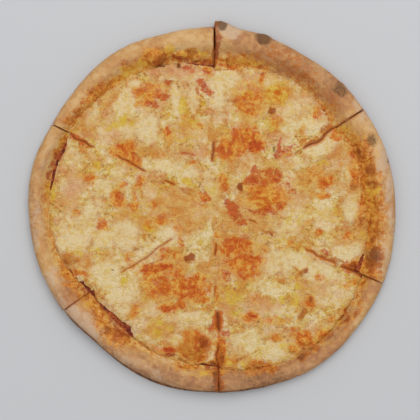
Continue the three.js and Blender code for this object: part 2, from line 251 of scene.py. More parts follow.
# The toppings' spots, slice by slice from the top right one, anticlockwise.
CHEESE_SPOTS: dict[Tint, tuple[Spot, ...]] = {
    Tint.TAN: on_grid(
        # top right slice
        (240, 126, 10, 6, 0.7), (252, 92, 20, 20, 0.6), (280, 100, 14, 18, 0.5),
        (240, 166, 24, 8, 0.45, -5), (272, 162, 14, 7, 0.45), (232, 118, 6, 10, 0.35),
        (295, 92, 8, 7, 0.45),
        # top left slice
        (198, 130, 22, 10, 0.7), (184, 107, 9, 12, 0.4), (110, 100, 11, 6, 0.8, 40),
        (85, 124, 12, 11, 0.45), (157, 154, 9, 8, 0.5), (188, 192, 9, 6, 0.7, -20),
        (178, 152, 12, 8, 0.4), (146, 114, 6, 3, 0.4), (168, 136, 9, 12, 0.4), (126, 150, 16, 13, 0.4),
        # left slice
        (80, 170, 19, 24, 0.4), (185, 208, 32, 18, 0.8), (152, 224, 16, 8, 0.6), (128, 212, 12, 8, 0.6),
        (120, 192, 9, 16, 0.4), (197, 222, 8, 8, 0.5), (85, 262, 8, 8, 0.8), (70, 262, 10, 10, 0.7),
        (150, 200, 8, 8, 0.4), (108, 256, 9, 7, 0.4), (70, 205, 10, 14, 0.35), (190, 228, 14, 6, 0.5),
        # bottom left slice
        (168, 282, 32, 30, 0.6), (160, 330, 20, 10, 0.6), (135, 315, 9, 11, 0.5),
        (205, 266, 8, 12, 0.5), (165, 362, 14, 5, 0.5), (190, 366, 16, 5, 0.8),
        # bottom right slice
        (236, 300, 14, 14, 0.45), (262, 312, 26, 13, 0.45), (308, 296, 14, 14, 0.4),
        (245, 258, 24, 22, 0.5), (310, 340, 24, 12, 0.7, 25), (240, 364, 22, 8, 0.6),
        (350, 300, 12, 14, 0.35), (276, 338, 8, 7, 0.4), (220, 300, 6, 20, 0.4), (222, 245, 8, 14, 0.5),
        (340, 318, 14, 8, 0.5, 30),
        # right slice
        (266, 195, 30, 26, 0.5), (318, 180, 22, 14, 0.55), (340, 152, 8, 14, 0.5),
        (262, 224, 14, 8, 0.45, -20), (345, 240, 12, 8, 0.5), (300, 200, 12, 9, 0.4),
        (362, 170, 14, 36, 0.8), (368, 222, 14, 30, 0.8), (230, 215, 10, 16, 0.6, 35),
        (298, 236, 18, 10, 0.35, -25),
    ),
    Tint.PALE: on_grid(
        # top right slice
        (226, 79, 13, 7, 0.85), (219, 94, 8, 14, 0.9), (222, 118, 8, 9, 0.4), (300, 113, 17, 17, 0.6),
        (311, 126, 7, 7), (292, 105, 8, 8, 0.7), (275, 82, 10, 5, 0.45), (283, 138, 12, 5, 0.4),
        (262, 127, 5, 7, 0.4),
        # top left slice
        (136, 84, 7, 4, 0.8), (126, 104, 9, 14, 1, -15), (148, 127, 10, 15, 0.9, 15),
        (92, 116, 9, 7, 0.5), (175, 102, 5, 15, 0.8), (106, 136, 10, 8, 0.6), (130, 132, 8, 8, 0.6),
        (190, 76, 14, 6, 0.6), (187, 90, 7, 6, 0.5), (172, 168, 26, 7, 0.85, -5),
        (150, 168, 9, 9, 0.6, -30), (193, 101, 6, 12, 0.6), (210, 175, 8, 8, 0.5),
        (118, 135, 6, 6, 0.5),
        # left slice
        (104, 188, 8, 10, 0.6), (119, 171, 6, 6, 0.7), (90, 212, 7, 7, 0.8), (60, 246, 8, 8),
        (85, 222, 24, 18, 0.5), (76, 236, 18, 11, 0.9), (105, 240, 12, 8, 0.8), (124, 234, 14, 12, 0.8),
        (150, 192, 7, 8, 0.7), (106, 273, 15, 13, 0.85), (127, 290, 11, 10, 0.8),
        (135, 276, 6, 10, 0.6), (116, 297, 9, 6, 0.8), (95, 205, 10, 8, 0.5), (150, 245, 10, 7, 0.5),
        (72, 158, 10, 8, 0.4), (128, 190, 3, 9, 0.5), (60, 220, 7, 10, 0.5), (170, 240, 8, 7, 0.5),
        # bottom left slice
        (192, 240, 9, 6, 0.6), (150, 311, 8, 6, 0.6), (195, 318, 16, 6, 0.75), (175, 341, 7, 6, 0.7),
        (122, 310, 6, 8, 0.6), (148, 342, 7, 5, 0.5, -30), (168, 320, 8, 4, 0.4), (208, 255, 5, 6, 0.4),
        # bottom right slice
        (312, 268, 30, 8, 0.9, -25), (278, 262, 14, 14, 0.65), (278, 312, 9, 7, 0.6),
        (273, 291, 6, 6, 0.6), (275, 350, 11, 9, 0.95), (245, 340, 14, 11, 0.75), (350, 294, 9, 9, 0.5),
        (325, 300, 10, 10, 0.5), (262, 284, 10, 6, 0.5), (330, 285, 12, 6, 0.6, -15),
        # the second and third spots on this row are painted highlights on blisters
        (290, 326, 6, 5, 0.4), (330, 328, 6, 4, 0.5, 30), (242, 367, 5, 4, 0.6), (222, 318, 5, 7, 0.5),
        # right slice
        (320, 148, 16, 7, 0.9, 25), (300, 163, 9, 7, 0.6), (346, 178, 6, 22, 0.5),
        (350, 208, 7, 14, 0.7), (325, 221, 12, 10, 0.65), (347, 253, 13, 8, 0.9, 10),
        (285, 228, 14, 7, 0.5, -20), (212, 190, 9, 11, 0.5), (250, 160, 14, 5, 0.4, -5),
        (305, 212, 10, 6, 0.5), (328, 242, 8, 5, 0.4),
    ),
    Tint.ROSY: on_grid(
        # all slices
        (163, 72, 15, 4, 0.7), (107, 115, 6, 8, 0.6), (106, 135, 12, 9, 0.5), (75, 189, 12, 9, 0.7),
        (150, 193, 8, 9, 0.5), (180, 70, 16, 6, 0.85, -3), (203, 86, 12, 7, 0.5, -45),
        (160, 101, 9, 7, 0.5), (307, 100, 8, 5, 0.6), (283, 137, 11, 4, 0.6), (222, 116, 8, 8, 0.4),
        (300, 200, 12, 9, 0.6), (325, 221, 12, 10, 0.35), (270, 305, 14, 7, 0.5), (254, 298, 8, 6, 0.6),
        (222, 273, 8, 8, 0.6), (224, 310, 6, 10, 0.5), (186, 155, 14, 5, 0.5),
        (80, 137, 10, 5, 0.7, -28), (138, 306, 6, 5, 0.5), (205, 150, 5, 9, 0.7),
        (58, 172, 6, 14, 0.6, -10), (90, 135, 9, 7, 0.4), (246, 168, 12, 4, 0.4),
    ),
    Tint.YELLOW: on_grid(
        # top right slice
        (276, 94, 11, 9, 0.95), (272, 128, 4, 4, 0.5), (286, 100, 4, 4, 0.4), (330, 117, 4, 5, 0.5),
        # top left slice
        (122, 121, 4.5, 5, 0.95), (112, 127, 5, 3, 0.85, 20), (132, 124, 5, 3, 0.4),
        (184, 104, 4, 9, 0.6), (193, 124, 10, 5, 0.45), (187, 181, 6, 4, 0.9, -25),
        (188, 139, 14, 2, 0.5, 3), (190, 165, 7, 3, 0.4, 20),
        # left slice
        (97, 166, 3, 6, 0.5), (82, 228, 3, 6, 0.5), (89, 222, 5, 3, 0.35), (52, 228, 4, 9, 0.5),
        (123, 281, 4, 4, 0.9), (147, 228, 7, 4, 0.5), (60, 140, 3, 5, 0.8, -30),
        (75, 250, 10, 2, 0.35, -20), (52, 192, 3, 9, 0.6),
        # bottom left slice
        (157, 334, 7, 6, 0.55), (171, 329, 6, 4, 0.65), (204, 243, 5, 5, 0.5), (168, 288, 8, 7, 0.4),
        (183, 320, 6, 5, 0.35), (165, 362, 10, 3, 0.4), (192, 367, 12, 3, 0.5), (207, 372, 10, 3, 0.6),
        # bottom right slice
        (232, 298, 8, 6, 0.55), (242, 288, 6, 5, 0.4), (243, 262, 5, 5, 0.5), (281, 299, 3, 4, 0.7),
        (295, 300, 5, 6, 0.55), (294, 288, 4, 3, 0.5), (320, 277, 5, 4, 0.5), (262, 326, 8, 5, 0.4),
        (236, 314, 8, 6, 0.4), (352, 284, 8, 3, 0.5), (335, 323, 8, 4, 0.5, 30), (228, 363, 6, 3, 0.6),
        (320, 334, 8, 3, 0.5, 40), (262, 350, 8, 4, 0.35),
        # right slice
        (264, 196, 13, 11, 0.85), (212, 190, 7, 8, 0.35), (323, 211, 5, 3, 0.6),
        (335, 214, 14, 8, 0.35), (298, 224, 5, 4, 0.45), (325, 182, 5, 4, 0.4), (323, 165, 5, 3, 0.45),
        (343, 131, 5, 4, 0.6), (372, 207, 5, 7, 0.7), (362, 160, 5, 5, 0.4), (368, 185, 8, 4, 0.5),
        (365, 236, 5, 6, 0.4),
        # all slices
        (262, 196, 7, 6, 0.6), (245, 262, 6, 5, 0.6), (180, 284, 7, 6, 0.6), (148, 96, 6, 4, 0.6),
        (248, 96, 6, 5, 0.6), (232, 145, 6, 4, 0.5), (122, 150, 4, 4, 0.5), (140, 120, 4, 3, 0.4),
        (95, 172, 4, 3, 0.4), (225, 128, 5, 3, 0.4), (262, 238, 5, 3, 0.4), (312, 238, 4, 3, 0.4),
        (280, 318, 6, 2, 0.5), (160, 322, 6, 4, 0.5), (110, 230, 6, 2, 0.4), (338, 205, 4, 6, 0.4),
        (246, 365, 3, 4, 0.7), (222, 358, 5, 4, 0.7), (285, 346, 6, 4, 0.6), (325, 332, 6, 4, 0.8, 40),
        (338, 322, 4, 4, 0.6),
    ),
    Tint.ORANGE: on_grid(
        # top right slice
        (248, 102, 14, 17, 0.75), (263, 78, 3, 11, 0.85), (275, 96, 13, 11, 0.6), (276, 118, 6, 8, 0.6),
        (241, 142, 20, 12, 1, 15), (254, 141, 9, 12), (226, 151, 11, 8, 0.95, 20),
        (287, 152, 8, 6, 0.6), (318, 115, 6, 7, 0.9), (303, 130, 3, 5, 0.65),
        (238, 160, 20, 4, 0.35, 10),
        # top left slice
        (150, 93, 16, 10, 0.75, 12), (147, 103, 9, 6, 0.8), (137, 92, 6, 3, 0.7),
        (201, 125, 3.5, 3, 0.8), (183, 116, 3, 4, 0.8), (169, 133, 3.5, 9, 0.85),
        (125, 151, 9, 8, 0.95), (134, 160, 8, 5, 1, -40), (117, 153, 5, 4, 0.8), (128, 144, 5, 4, 0.7),
        (189, 164, 6, 2.5, 0.85, 20), (206, 151, 3, 6, 0.5), (208, 73, 5, 6, 0.7),
        (205, 197, 8, 3, 0.8, -35), (165, 155, 3, 3, 0.4), (180, 139, 12, 2, 0.4, 4),
        # left slice
        (87, 177, 6, 4, 0.85, -5), (118, 197, 5, 9, 0.9), (123, 184, 4, 4, 0.8),
        (139, 181, 4, 8, 0.85, -20), (133, 194, 3, 6, 0.8), (133, 206, 5, 5), (76, 213, 5, 4, 0.6),
        (103, 225, 5, 7, 0.85), (160, 221, 13, 6, 0.65), (150, 226, 5, 4, 0.6), (176, 215, 4, 8, 0.5),
        (179, 228, 4, 6, 0.6), (181, 241, 3, 9, 0.7), (106, 256, 6, 5, 0.5), (130, 260, 5, 8, 0.7),
        (75, 272, 12, 4, 0.9), (152, 207, 5, 8, 0.4), (200, 202, 10, 4, 0.45, -10),
        # bottom left slice
        (157, 268, 18, 6, 1, 8), (165, 253, 10, 5, 0.75, 35), (162, 284, 17, 13, 0.8),
        (177, 259, 6, 9, 0.6), (190, 287, 16, 12), (168, 308, 9, 6), (180, 305, 7, 5, 0.85),
        (203, 296, 6, 6, 0.9), (178, 277, 9, 8, 0.75), (207, 310, 5, 2.5, 0.6), (134, 313, 6, 8, 0.6),
        (165, 349, 12, 4, 0.85, -8), (194, 346, 18, 16, 0.75), (210, 271, 4, 10, 0.4),
        (210, 288, 3, 8, 0.6),
        # bottom right slice
        (238, 246, 16, 9), (245, 264, 18, 12, 1, -8), (263, 248, 4, 5, 0.6), (222, 273, 6, 8, 0.6),
        (217, 295, 2, 14, 0.6), (217, 233, 3, 4, 0.7), (298, 279, 3, 3, 0.6), (320, 276, 5, 4, 0.6),
        (254, 298, 7, 5, 0.45), (251, 316, 8, 6, 0.95), (275, 321, 20, 4, 0.55, -2),
        (310, 301, 4, 7, 0.7, 15), (344, 316, 5, 6, 0.7), (354, 313, 4, 6, 0.7), (333, 319, 4, 4, 0.6),
        (352, 283, 10, 4, 0.7), (276, 338, 5, 4, 0.85), (305, 338, 12, 8, 0.85),
        (320, 336, 10, 5, 0.85, 40), (292, 349, 6, 4, 0.7), (228, 364, 7, 5, 0.6),
        (255, 365, 9, 8, 0.85), (269, 367, 6, 5, 0.8), (222, 348, 5, 13), (297, 331, 5, 4, 0.55),
        # right slice
        (223, 183, 5, 8, 0.8), (267, 192, 23, 20, 0.8), (325, 182, 8, 7, 0.85), (314, 177, 14, 9, 0.45),
        (322, 195, 9, 3, 0.85), (339, 163, 4, 4, 0.5), (335, 135, 7, 5), (288, 164, 9, 6, 0.4),
        (319, 235, 4, 5, 0.85), (349, 235, 5, 4, 0.75), (307, 222, 3.5, 3.5, 0.6),
        (290, 245, 4, 4, 0.75), (278, 248, 3, 3, 0.55), (308, 247, 4, 3, 0.7), (360, 152, 10, 10, 0.9),
        (358, 170, 9, 15, 0.8), (366, 206, 10, 15, 0.7), (376, 222, 8, 20, 0.8), (365, 265, 12, 8, 0.9),
        # all slices
        (228, 64, 14, 4, 0.9), (248, 66, 10, 3, 0.8, 10), (194, 346, 17, 15, 0.95),
    ),
    Tint.RED: on_grid(
        # top right slice
        (256, 148, 7, 5, 0.8), (240, 140, 6, 4, 0.35), (219, 152, 5, 5, 0.5), (279, 150, 3.5, 8, 0.95),
        (288, 148, 5, 4, 0.65, 20), (237, 100, 4, 3, 0.35),
        # top left slice
        (167, 83, 3.5, 3, 0.95), (163, 96, 6, 3, 0.8, 10), (155, 105, 6, 3, 0.8, 15),
        (205, 88, 11, 2.5, 0.85, -45), (200, 93, 7, 1.6, 0.7, -45), (200, 83, 4, 3, 0.8),
        (210, 96, 5, 1.6, 0.7, -45), (187, 154, 7, 1.8, 0.6), (135, 157, 5, 4, 0.55, -40),
        (190, 69, 11, 3, 0.6, -5), (207, 71, 5, 4, 0.5), (169, 131, 2, 6, 0.35),
        (205, 196, 6, 2, 0.6, -35),
        # left slice
        (93, 183, 2.5, 2.5, 0.6), (118, 197, 3, 5, 0.4), (133, 207, 4, 3, 0.5), (160, 219, 4, 3, 0.35),
        (182, 246, 3, 4, 0.4), (57, 160, 3, 11, 0.8, -18), (80, 141, 10, 2, 0.7, -28),
        # bottom left slice
        (157, 268, 15, 3, 0.6, 8), (190, 290, 10, 7, 0.5), (168, 309, 6, 4, 0.6), (184, 300, 5, 3, 0.5),
        (180, 278, 6, 4, 0.4), (168, 350, 6, 3, 0.6), (212, 328, 4, 4, 0.9), (219, 321, 4, 8),
        (223, 333, 4, 3, 0.9), (204, 341, 5, 5, 0.5),
        # bottom right slice
        (227, 243, 6, 5, 0.6), (242, 241, 8, 3, 0.5), (252, 252, 3, 8, 0.4), (228, 259, 4, 5, 0.5),
        (247, 274, 13, 3, 0.5), (226, 276, 3, 4, 0.5), (225, 334, 3, 2, 0.6), (251, 316, 5, 4, 0.4),
        (221, 350, 3, 7, 0.4), (218, 300, 1.5, 9, 0.35),
        # right slice
        (252, 179, 8, 4), (256, 172, 6, 4, 0.7, -20), (273, 173, 8, 6, 0.8, -20), (287, 189, 4, 5, 0.4),
        (292, 193, 5, 3, 0.7), (262, 211, 15, 3, 0.65), (280, 206, 6, 4, 0.6), (227, 203, 4, 6, 1, 30),
        (233, 212, 4.5, 8, 1, 30), (241, 223, 4, 5, 0.9, 30), (325, 252, 4, 2.5, 0.8, -20),
        (308, 247, 3, 2, 0.4), (338, 139, 3, 2, 0.7), (350, 267, 8, 5, 0.8, -25),
    ),
    Tint.BROWN: on_grid(
        # top right slice
        (271, 112, 3.5, 3, 0.9), (278, 122, 3, 5, 0.4), (224, 114, 3, 3, 0.45), (224, 123, 3, 2, 0.4),
        (303, 130, 2.5, 3, 0.4), (325, 127, 6, 3, 0.8, 33), (310, 140, 9, 1.6, 0.8, 33),
        (295, 150, 9, 1.3, 0.6, 33), (264, 157, 4, 2, 0.4),
        # top left slice
        (145, 113, 3, 2, 0.4), (177, 65, 2.5, 3), (80, 142, 10, 1.6, 0.7, -28),
        (188, 190, 10, 1.6, 0.6, -28), (110, 101, 8, 3, 0.4, 40), (177, 78, 3, 2, 0.4),
        # left slice
        (70, 259, 8, 6, 0.7), (76, 214, 3, 3, 0.4), (88, 272, 3, 9, 0.4), (74, 273, 11, 3, 0.5),
        (170, 252, 9, 1.2, 0.5, 33), (156, 260, 9, 1.2, 0.6, 33),
        # bottom left slice
        (194.5, 346, 15, 13.5, 0.6), (204, 341, 6, 6), (190, 259, 5, 4.5), (215, 364, 7, 5),
        (146, 348, 9, 1.8, 1, -38), (166, 355, 14, 1.6, 0.9, -6), (184, 364, 5, 2, 0.5, -50),
        # bottom right slice
        (303, 272, 4.5, 3, 0.8, 25), (301, 314, 3.5, 4.5, 0.8), (311, 301, 3, 6, 0.75, 15),
        (313, 348, 5, 4, 0.8), (303, 346, 5, 3, 0.6), (302, 357, 5, 5, 0.9), (344, 317, 3, 5, 0.8),
        (354, 314, 2.5, 5, 0.8), (255, 366, 7, 7, 0.75), (269, 368, 4, 4, 0.7),
        (239, 360, 5, 2, 0.7, 15), (276, 340, 3, 2.5, 0.5), (292, 350, 4, 2, 0.6),
        (320, 340, 8, 1.5, 0.6, 40), (219, 354, 3.5, 9, 0.9), (330, 322, 4, 3, 0.4),
        # right slice
        (242, 187, 3.5, 6), (309, 182, 3, 3, 0.7), (268, 235, 7, 1.8, 0.8, -30), (352, 187, 4, 5, 0.7),
        (371, 170, 5, 6, 0.6), (362, 222, 4, 5, 0.7), (352, 268, 6, 5, 1, -20),
        (336, 261, 10, 2, 0.7, -25), (256, 177, 5, 3, 0.4), (372, 258, 9, 8, 0.8),
        (325, 256, 4, 3, 0.7, -25), (378, 235, 5, 8, 0.5), (366, 168, 5, 6, 0.4),
        # all slices; the thin rows under the front blisters are painted shade on their sides away from
        # the light
        (224, 69, 11, 1.3, 0.7), (215, 62, 1.5, 8, 0.7), (250, 371, 9, 2, 0.8), (268, 373, 6, 2, 0.7),
        (231, 368, 6, 1.5, 0.6), (300, 350, 7, 2, 0.8, 15), (315, 352, 5, 1.6, 0.7, 30),
        (329, 338, 6, 1.5, 0.7, 40), (338, 331, 5, 1.5, 0.6, 45), (181, 240, 2, 6, 0.5),
        (216.5, 245, 1.2, 13, 0.6), (217, 282, 1.2, 14, 0.5), (58, 150, 2, 8, 0.6, -25),
        (318, 118, 3, 5, 0.4),
    ),
    Tint.CHAR: on_grid(
        # all slices
        (115, 269, 1, 1), (94, 262, 0.8, 0.8, 0.7), (272, 151, 1.5, 2.5, 0.6), (177, 66, 1.6, 2, 0.7),
        (216, 364, 4, 3, 0.6), (242, 188, 1.5, 2, 0.4), (352, 269, 3, 3, 0.5),
    ),
}

# The rim's spots, placed as the camera sees them.
CRUST_SPOTS: dict[Tint, tuple[Spot, ...]] = {
    Tint.TAN: on_grid(
        # all slices
        (270, 72, 40, 10, 0.6, -20), (320, 100, 20, 9, 0.6, -45), (110, 95, 34, 9, 0.4, 40),
        (365, 200, 14, 60, 0.5), (80, 285, 14, 20, 0.4, 30), (300, 350, 50, 9, 0.35, 22),
    ),
    Tint.PALE: in_mm(
        (14, 156, 11, 5, 1, -8), (150, 46, 6, 14, 0.8, -15), (154, 18, 3.5, 16, 0.7, -3),
        (156, -8, 2.6, 20, 0.6, 4), (130, 83, 14, 4, 0.5, -55), (148, -42, 5, 16, 0.6, 10),
        (-60, -140, 40, 6, 0.35, -28), (-40, -130, 12, 4, 0.5, -12), (-118, -96, 26, 8, 0.8, -45),
        (-140, -64, 8, 14, 0.5, -25), (-153, -15, 5, 26, 0.35, -6), (-146, 42, 5, 18, 0.3, -18),
        (122, -70, 8, 4, 0.45, 20),
    ),
    Tint.ROSY: in_mm(
        # rows below y = -100 mm, along the rim's front, are also painted shade where it faces away from
        # the light
        (62, 133, 50, 15, 0.75, -33), (105, 108, 20, 12, 0.7, -45), (20, -152, 48, 13, 1, 4),
        (76, -132, 28, 10, 1, 30), (110, -102, 22, 8, 0.7, 48), (-40, -150, 46, 10, 1, -18),
        (-100, -118, 34, 8, 0.7, -45), (-70, -128, 20, 7, 0.5, -30), (-130, -78, 12, 14, 0.7, -60),
        (-158, -2, 6, 34, 0.5), (140, -60, 6, 12, 0.5, 20), (152, 20, 6, 40, 0.35),
        (-150, 38, 5, 12, 0.3, -10),
    ),
    Tint.YELLOW: on_grid(
        # all slices
        (130, 72, 11, 7, 0.75, 40), (142, 63, 6, 5, 0.7), (182, 54, 9, 3, 0.8),
        (118, 80, 8, 5, 0.5, 40), (230, 63, 7, 4, 0.5), (66, 138, 3, 8, 0.9, -30),
        (50, 190, 3, 12, 0.7), (368, 186, 8, 5, 0.7), (372, 207, 6, 8, 0.7), (362, 162, 5, 5, 0.4),
        (365, 237, 5, 6, 0.5), (346, 130, 6, 5, 0.6), (92, 303, 7, 4, 0.6), (188, 368, 12, 3, 0.5),
        (207, 374, 10, 3, 0.6), (105, 305, 5, 4, 0.5), (226, 363, 6, 4, 0.7), (320, 335, 9, 3, 0.6, 40),
        (356, 283, 8, 3, 0.7), (300, 340, 8, 4, 0.4), (340, 308, 8, 5, 0.4, 50),
        (335, 325, 8, 4, 0.5, 45), (370, 198, 6, 7, 0.9), (354, 176, 4, 7, 0.7), (376, 192, 4, 6, 0.8),
        (358, 212, 5, 6, 0.8), (375, 228, 4, 6, 0.6), (165, 51, 9, 4, 0.8), (150, 53, 6, 4, 0.7),
        (120, 78, 9, 4, 0.7, 40), (108, 88, 6, 3, 0.6, 40), (196, 52, 9, 3, 0.7),
        (248, 64, 12, 4, 0.6, 12), (60, 146, 3, 7, 0.8, -25), (112, 300, 5, 5, 0.8),
    ),
    Tint.ORANGE: on_grid(
        # right slice
        (360, 150, 11, 12, 0.9), (360, 175, 12, 16, 0.85), (366, 205, 13, 16, 0.75),
        (376, 222, 9, 22, 0.85), (370, 245, 10, 8, 0.8), (365, 266, 14, 8, 0.95), (372, 275, 9, 5, 0.9),
        (352, 140, 6, 8, 0.7), (335, 131, 8, 5, 0.9), (358, 146, 7, 9, 0.9), (368, 158, 6, 8, 0.9),
        (362, 172, 7, 9, 0.8), (376, 178, 5, 9, 0.8), (360, 196, 5, 7, 0.7), (370, 216, 9, 12),
        (380, 202, 4, 9, 0.8), (364, 232, 7, 8, 0.9), (378, 245, 6, 7, 0.8),
        # top right slice
        (318, 113, 8, 8, 0.9), (300, 88, 16, 12, 0.5, -35), (262, 70, 6, 10, 0.7),
        (232, 62, 20, 8, 0.75), (250, 58, 10, 6, 0.5), (327, 119, 6, 6, 0.7),
        # top left slice
        (208, 66, 7, 7, 0.9), (183, 55, 10, 5, 0.9), (198, 60, 9, 5, 0.8), (148, 60, 6, 7, 0.7),
        (156, 58, 12, 9), (120, 86, 9, 5, 0.9, 25), (108, 90, 10, 6, 0.9, 25), (96, 94, 12, 8, 1, 35),
        (88, 102, 7, 6, 0.9), (79, 113, 6, 6, 0.7), (72, 121, 7, 6, 0.7), (138, 72, 8, 5, 0.4, 30),
        # left slice
        (64, 141, 4, 7, 0.9, -30), (58, 155, 5, 8, 0.8, -15), (49, 192, 4, 10, 0.5),
        (75, 272, 13, 5, 0.95), (75, 285, 9, 6, 0.7), (84, 298, 6, 5, 0.5),
        # bottom left slice
        (105, 312, 9, 12, 0.9), (97, 302, 9, 6, 0.8), (120, 338, 13, 8), (104, 325, 7, 8, 0.8),
        (168, 352, 12, 4, 0.7, -8), (192, 367, 18, 5, 0.6), (215, 372, 8, 6, 0.8),
        # bottom right slice
        (222, 365, 6, 9, 0.9), (230, 365, 7, 6, 0.7), (255, 366, 11, 9, 0.85), (270, 368, 7, 6, 0.8),
        (303, 344, 16, 10, 0.8, 20), (322, 336, 11, 6, 0.8, 40), (345, 318, 10, 8, 0.5, 50),
        (360, 300, 6, 10, 0.5), (358, 283, 8, 4, 0.8),
        # top left slice again, over the others
        (130, 66, 10, 5, 0.6, 35), (116, 80, 9, 5, 0.7, 40), (102, 92, 8, 6, 0.8, 40),
        (165, 56, 10, 5, 0.8),
    ),
    Tint.RED: on_grid(
        # all slices
        (217.5, 42, 2.5, 12, 0.9), (185, 61, 16, 3, 0.75, -10), (190, 70, 12, 4, 0.5, -5),
        (207, 67, 6, 5, 0.8), (55, 160, 4, 13, 0.85, -18), (62, 147, 3, 8, 0.8, -30),
        (90, 290, 7, 4, 0.8, -45), (123, 332, 9, 4, 0.8), (115, 320, 3, 10, 0.8, 20),
        (210, 365, 5, 4, 0.5), (221, 355, 3, 9, 0.6), (350, 268, 7, 5, 0.8), (373, 262, 8, 8, 0.4),
        (338, 139, 4, 3, 0.6), (371, 172, 4, 4, 0.5), (217, 56, 2.5, 15), (218, 352, 4, 12, 0.8),
        (218, 375, 2.5, 16, 0.7), (160, 66, 9, 2, 0.8, -5), (126, 62, 3, 2, 0.4),
        (93, 286, 3, 8, 0.9, -20), (346, 264, 8, 4, 0.9, -20), (52, 172, 3, 10, 0.8, -10),
        (210, 369, 6, 3, 0.6),
    ),
    Tint.BROWN: on_grid(
        # right slice
        (372, 170, 6, 6, 0.8), (353, 187, 5, 6, 0.6), (362, 222, 5, 6, 0.7), (380, 232, 5, 10, 0.5),
        (373, 255, 9, 8), (352, 268, 6, 5, 0.9), (383, 215, 4, 8, 0.4), (366, 150, 5, 6, 0.4),
        (358, 156, 3, 7, 0.9, 10), (374, 184, 5, 4, 0.8), (364, 190, 4, 5, 0.7), (366, 222, 5, 4, 0.8),
        (377, 210, 3, 5, 0.6), (370, 240, 7, 4, 0.8), (366, 262, 8, 6, 0.9), (350, 150, 3, 6, 0.5),
        # top right slice
        (290, 65, 36, 13, 0.45, -33), (280, 53, 5, 4, 0.6), (305, 77, 6, 4, 0.7), (275, 62, 5, 3, 0.4),
        (268, 60, 14, 10, 0.35), (330, 100, 16, 9, 0.4, -42), (310, 95, 14, 8, 0.4, -40),
        (237, 56, 5, 2, 0.6),
        # top left slice
        (162, 60, 4, 6, 0.9), (161, 65, 7, 2, 0.8), (192, 54, 6, 4, 0.8), (190, 70, 10, 4, 0.7),
        (177, 65, 3, 4), (100, 92, 6, 5, 0.4), (125, 86, 4, 2.5, 0.8), (79, 113, 5, 5, 0.7),
        (68, 122, 6, 6, 0.4), (204, 68, 5, 4, 0.4), (112, 86, 6, 3, 0.4, 20),
        # left slice
        (45, 200, 5, 8, 0.4), (75, 273, 12, 3, 0.6), (68, 259, 9, 7, 0.6), (72, 300, 10, 6, 0.35, 20),
        # bottom left slice
        (109, 330, 4, 5, 0.8), (120, 342, 9, 3, 0.5, -15), (145, 348, 9, 2, 0.8, -30),
        (184, 364, 6, 3, 0.5, -50), (214, 364, 6, 5, 0.9), (217, 379, 3.5, 10, 0.8),
        # bottom right slice
        (255, 366, 8, 8, 0.8), (270, 369, 5, 4, 0.7), (302, 357, 6, 6), (314, 348, 6, 4, 0.8),
        (303, 346, 5, 3, 0.5), (238, 360, 5, 2, 0.7, 15), (290, 351, 5, 3, 0.6), (219, 384, 4, 10, 0.9),
        (344, 318, 4, 6, 0.8), (355, 314, 3, 6, 0.8), (318, 340, 10, 2, 0.5, 40),
    ),
    Tint.CHAR: in_mm(
        # the first row is painted shade on the rim's front, where it faces away from the light
        (46, -149, 26, 6, 0.45, 3), (-38, -143, 18, 6, 0.25, -20), (8, 162, 4.5, 3, 1, 15),
        (45, 149, 7, 4.5, 1, -10), (110, 106, 6.5, 5, 0.7, -40), (139, 61, 3.5, 4, 0.65, -20),
        (155, 44, 2, 3, 0.9), (159, 31, 1.2, 1.6, 0.9), (140, -40, 5, 4, 0.5), (77, -128, 3, 3, 0.5),
        (-31, 126, 1.5, 2.5, 0.7, 30), (2, -134, 4, 4, 0.7), (2, -150, 2.5, 10, 0.5),
    ),
}

# Blisters that stand up from the toppings and from the rim, strength times BLISTER_LIFT high.
CHEESE_DOMES = on_grid(
    (228, 364, 6, 4.5, 1.4), (242, 366, 6, 5, 1.6), (255, 365, 8, 7, 2.2), (269, 368, 5, 4.5, 1.6),
    (305, 340, 7, 5, 1.6), (313, 347, 5, 4, 1.6), (321, 336, 7, 4, 1.4, 40), (292, 349, 5, 3.5, 1.2),
    (330, 329, 5, 4, 1.2, 30), (344, 316, 4, 5.5, 1.2), (354, 313, 3, 5.5), (194, 346, 16, 14, 1.8),
    (70, 259, 8, 6, 1.6), (190, 259, 5, 4.5), (303, 272, 4.5, 3, 0.8, 25), (301, 314, 3.5, 4.5, 0.8),
    (276, 338, 5, 4), (271, 112, 3.5, 3, 0.6), (311, 127, 6, 6, 0.8), (60, 246, 8, 7),
    (219, 90, 6, 12, 0.7),
)
CRUST_DOMES = on_grid(
    (156, 59, 10, 8, 2), (181, 55, 8, 4, 1.2), (196, 57, 6, 5, 1.2), (101, 92, 7, 6, 1.3, 30),
    (88, 102, 6, 5, 1, 40), (118, 86, 7, 4, 1, 25), (75, 285, 8, 5, 1.2), (303, 356, 6, 5, 2.2),
    (255, 367, 8, 7, 2), (373, 255, 8, 7, 1.6), (104, 312, 7, 8, 1.5), (120, 338, 11, 6, 1.6, -15),
    (362, 152, 8, 10, 1.2), (366, 205, 8, 9), (376, 222, 6, 12), (290, 350, 6, 4),
    (316, 345, 8, 4, 1.2, 35), (339, 88, 7, 6, 1, -40), (264, 39, 8, 5, 1, -10), (232, 60, 14, 6),
)

# Folds and cracks in the rim, as long thin dents.
CRUST_FOLDS = in_mm(
    (-24, -135, 5, 1.4, 1, -50), (-60, -123, 9, 1.2, 0.7, -30), (17, 154, 13, 1, 0.5),
    (-129, 45, 3, 14, 0.4, -25), (130, -52, 3, 8, 0.4, -20), (84, -113, 8, 1.2, 0.4, 30),
    (-108, 97, 9, 1.2, 0.4, 42), (124, 32, 1.4, 12, 0.4, 5), (60, 116, 14, 1.4, 0.3, -36),
)


def shade(red: int, green: int, blue: int) -> Color:
    """Turns a screen colour of 0 to 255 a channel into the linear colour that a socket takes."""
    channels = []
    for value in (red, green, blue):
        share = value / 255
        low = share <= 0.04045
        channels.append(share / 12.92 if low else ((share + 0.055) / 1.055) ** 2.4)
    return (*channels, 1.0)


def smooth(values: Array, start: float, end: float) -> Array:
    """Eases values from 0 at start to 1 at end. The end lies below the start for a fall."""
    share = np.clip((values - start) / (end - start), 0.0, 1.0)
    return share * share * (3 - 2 * share)


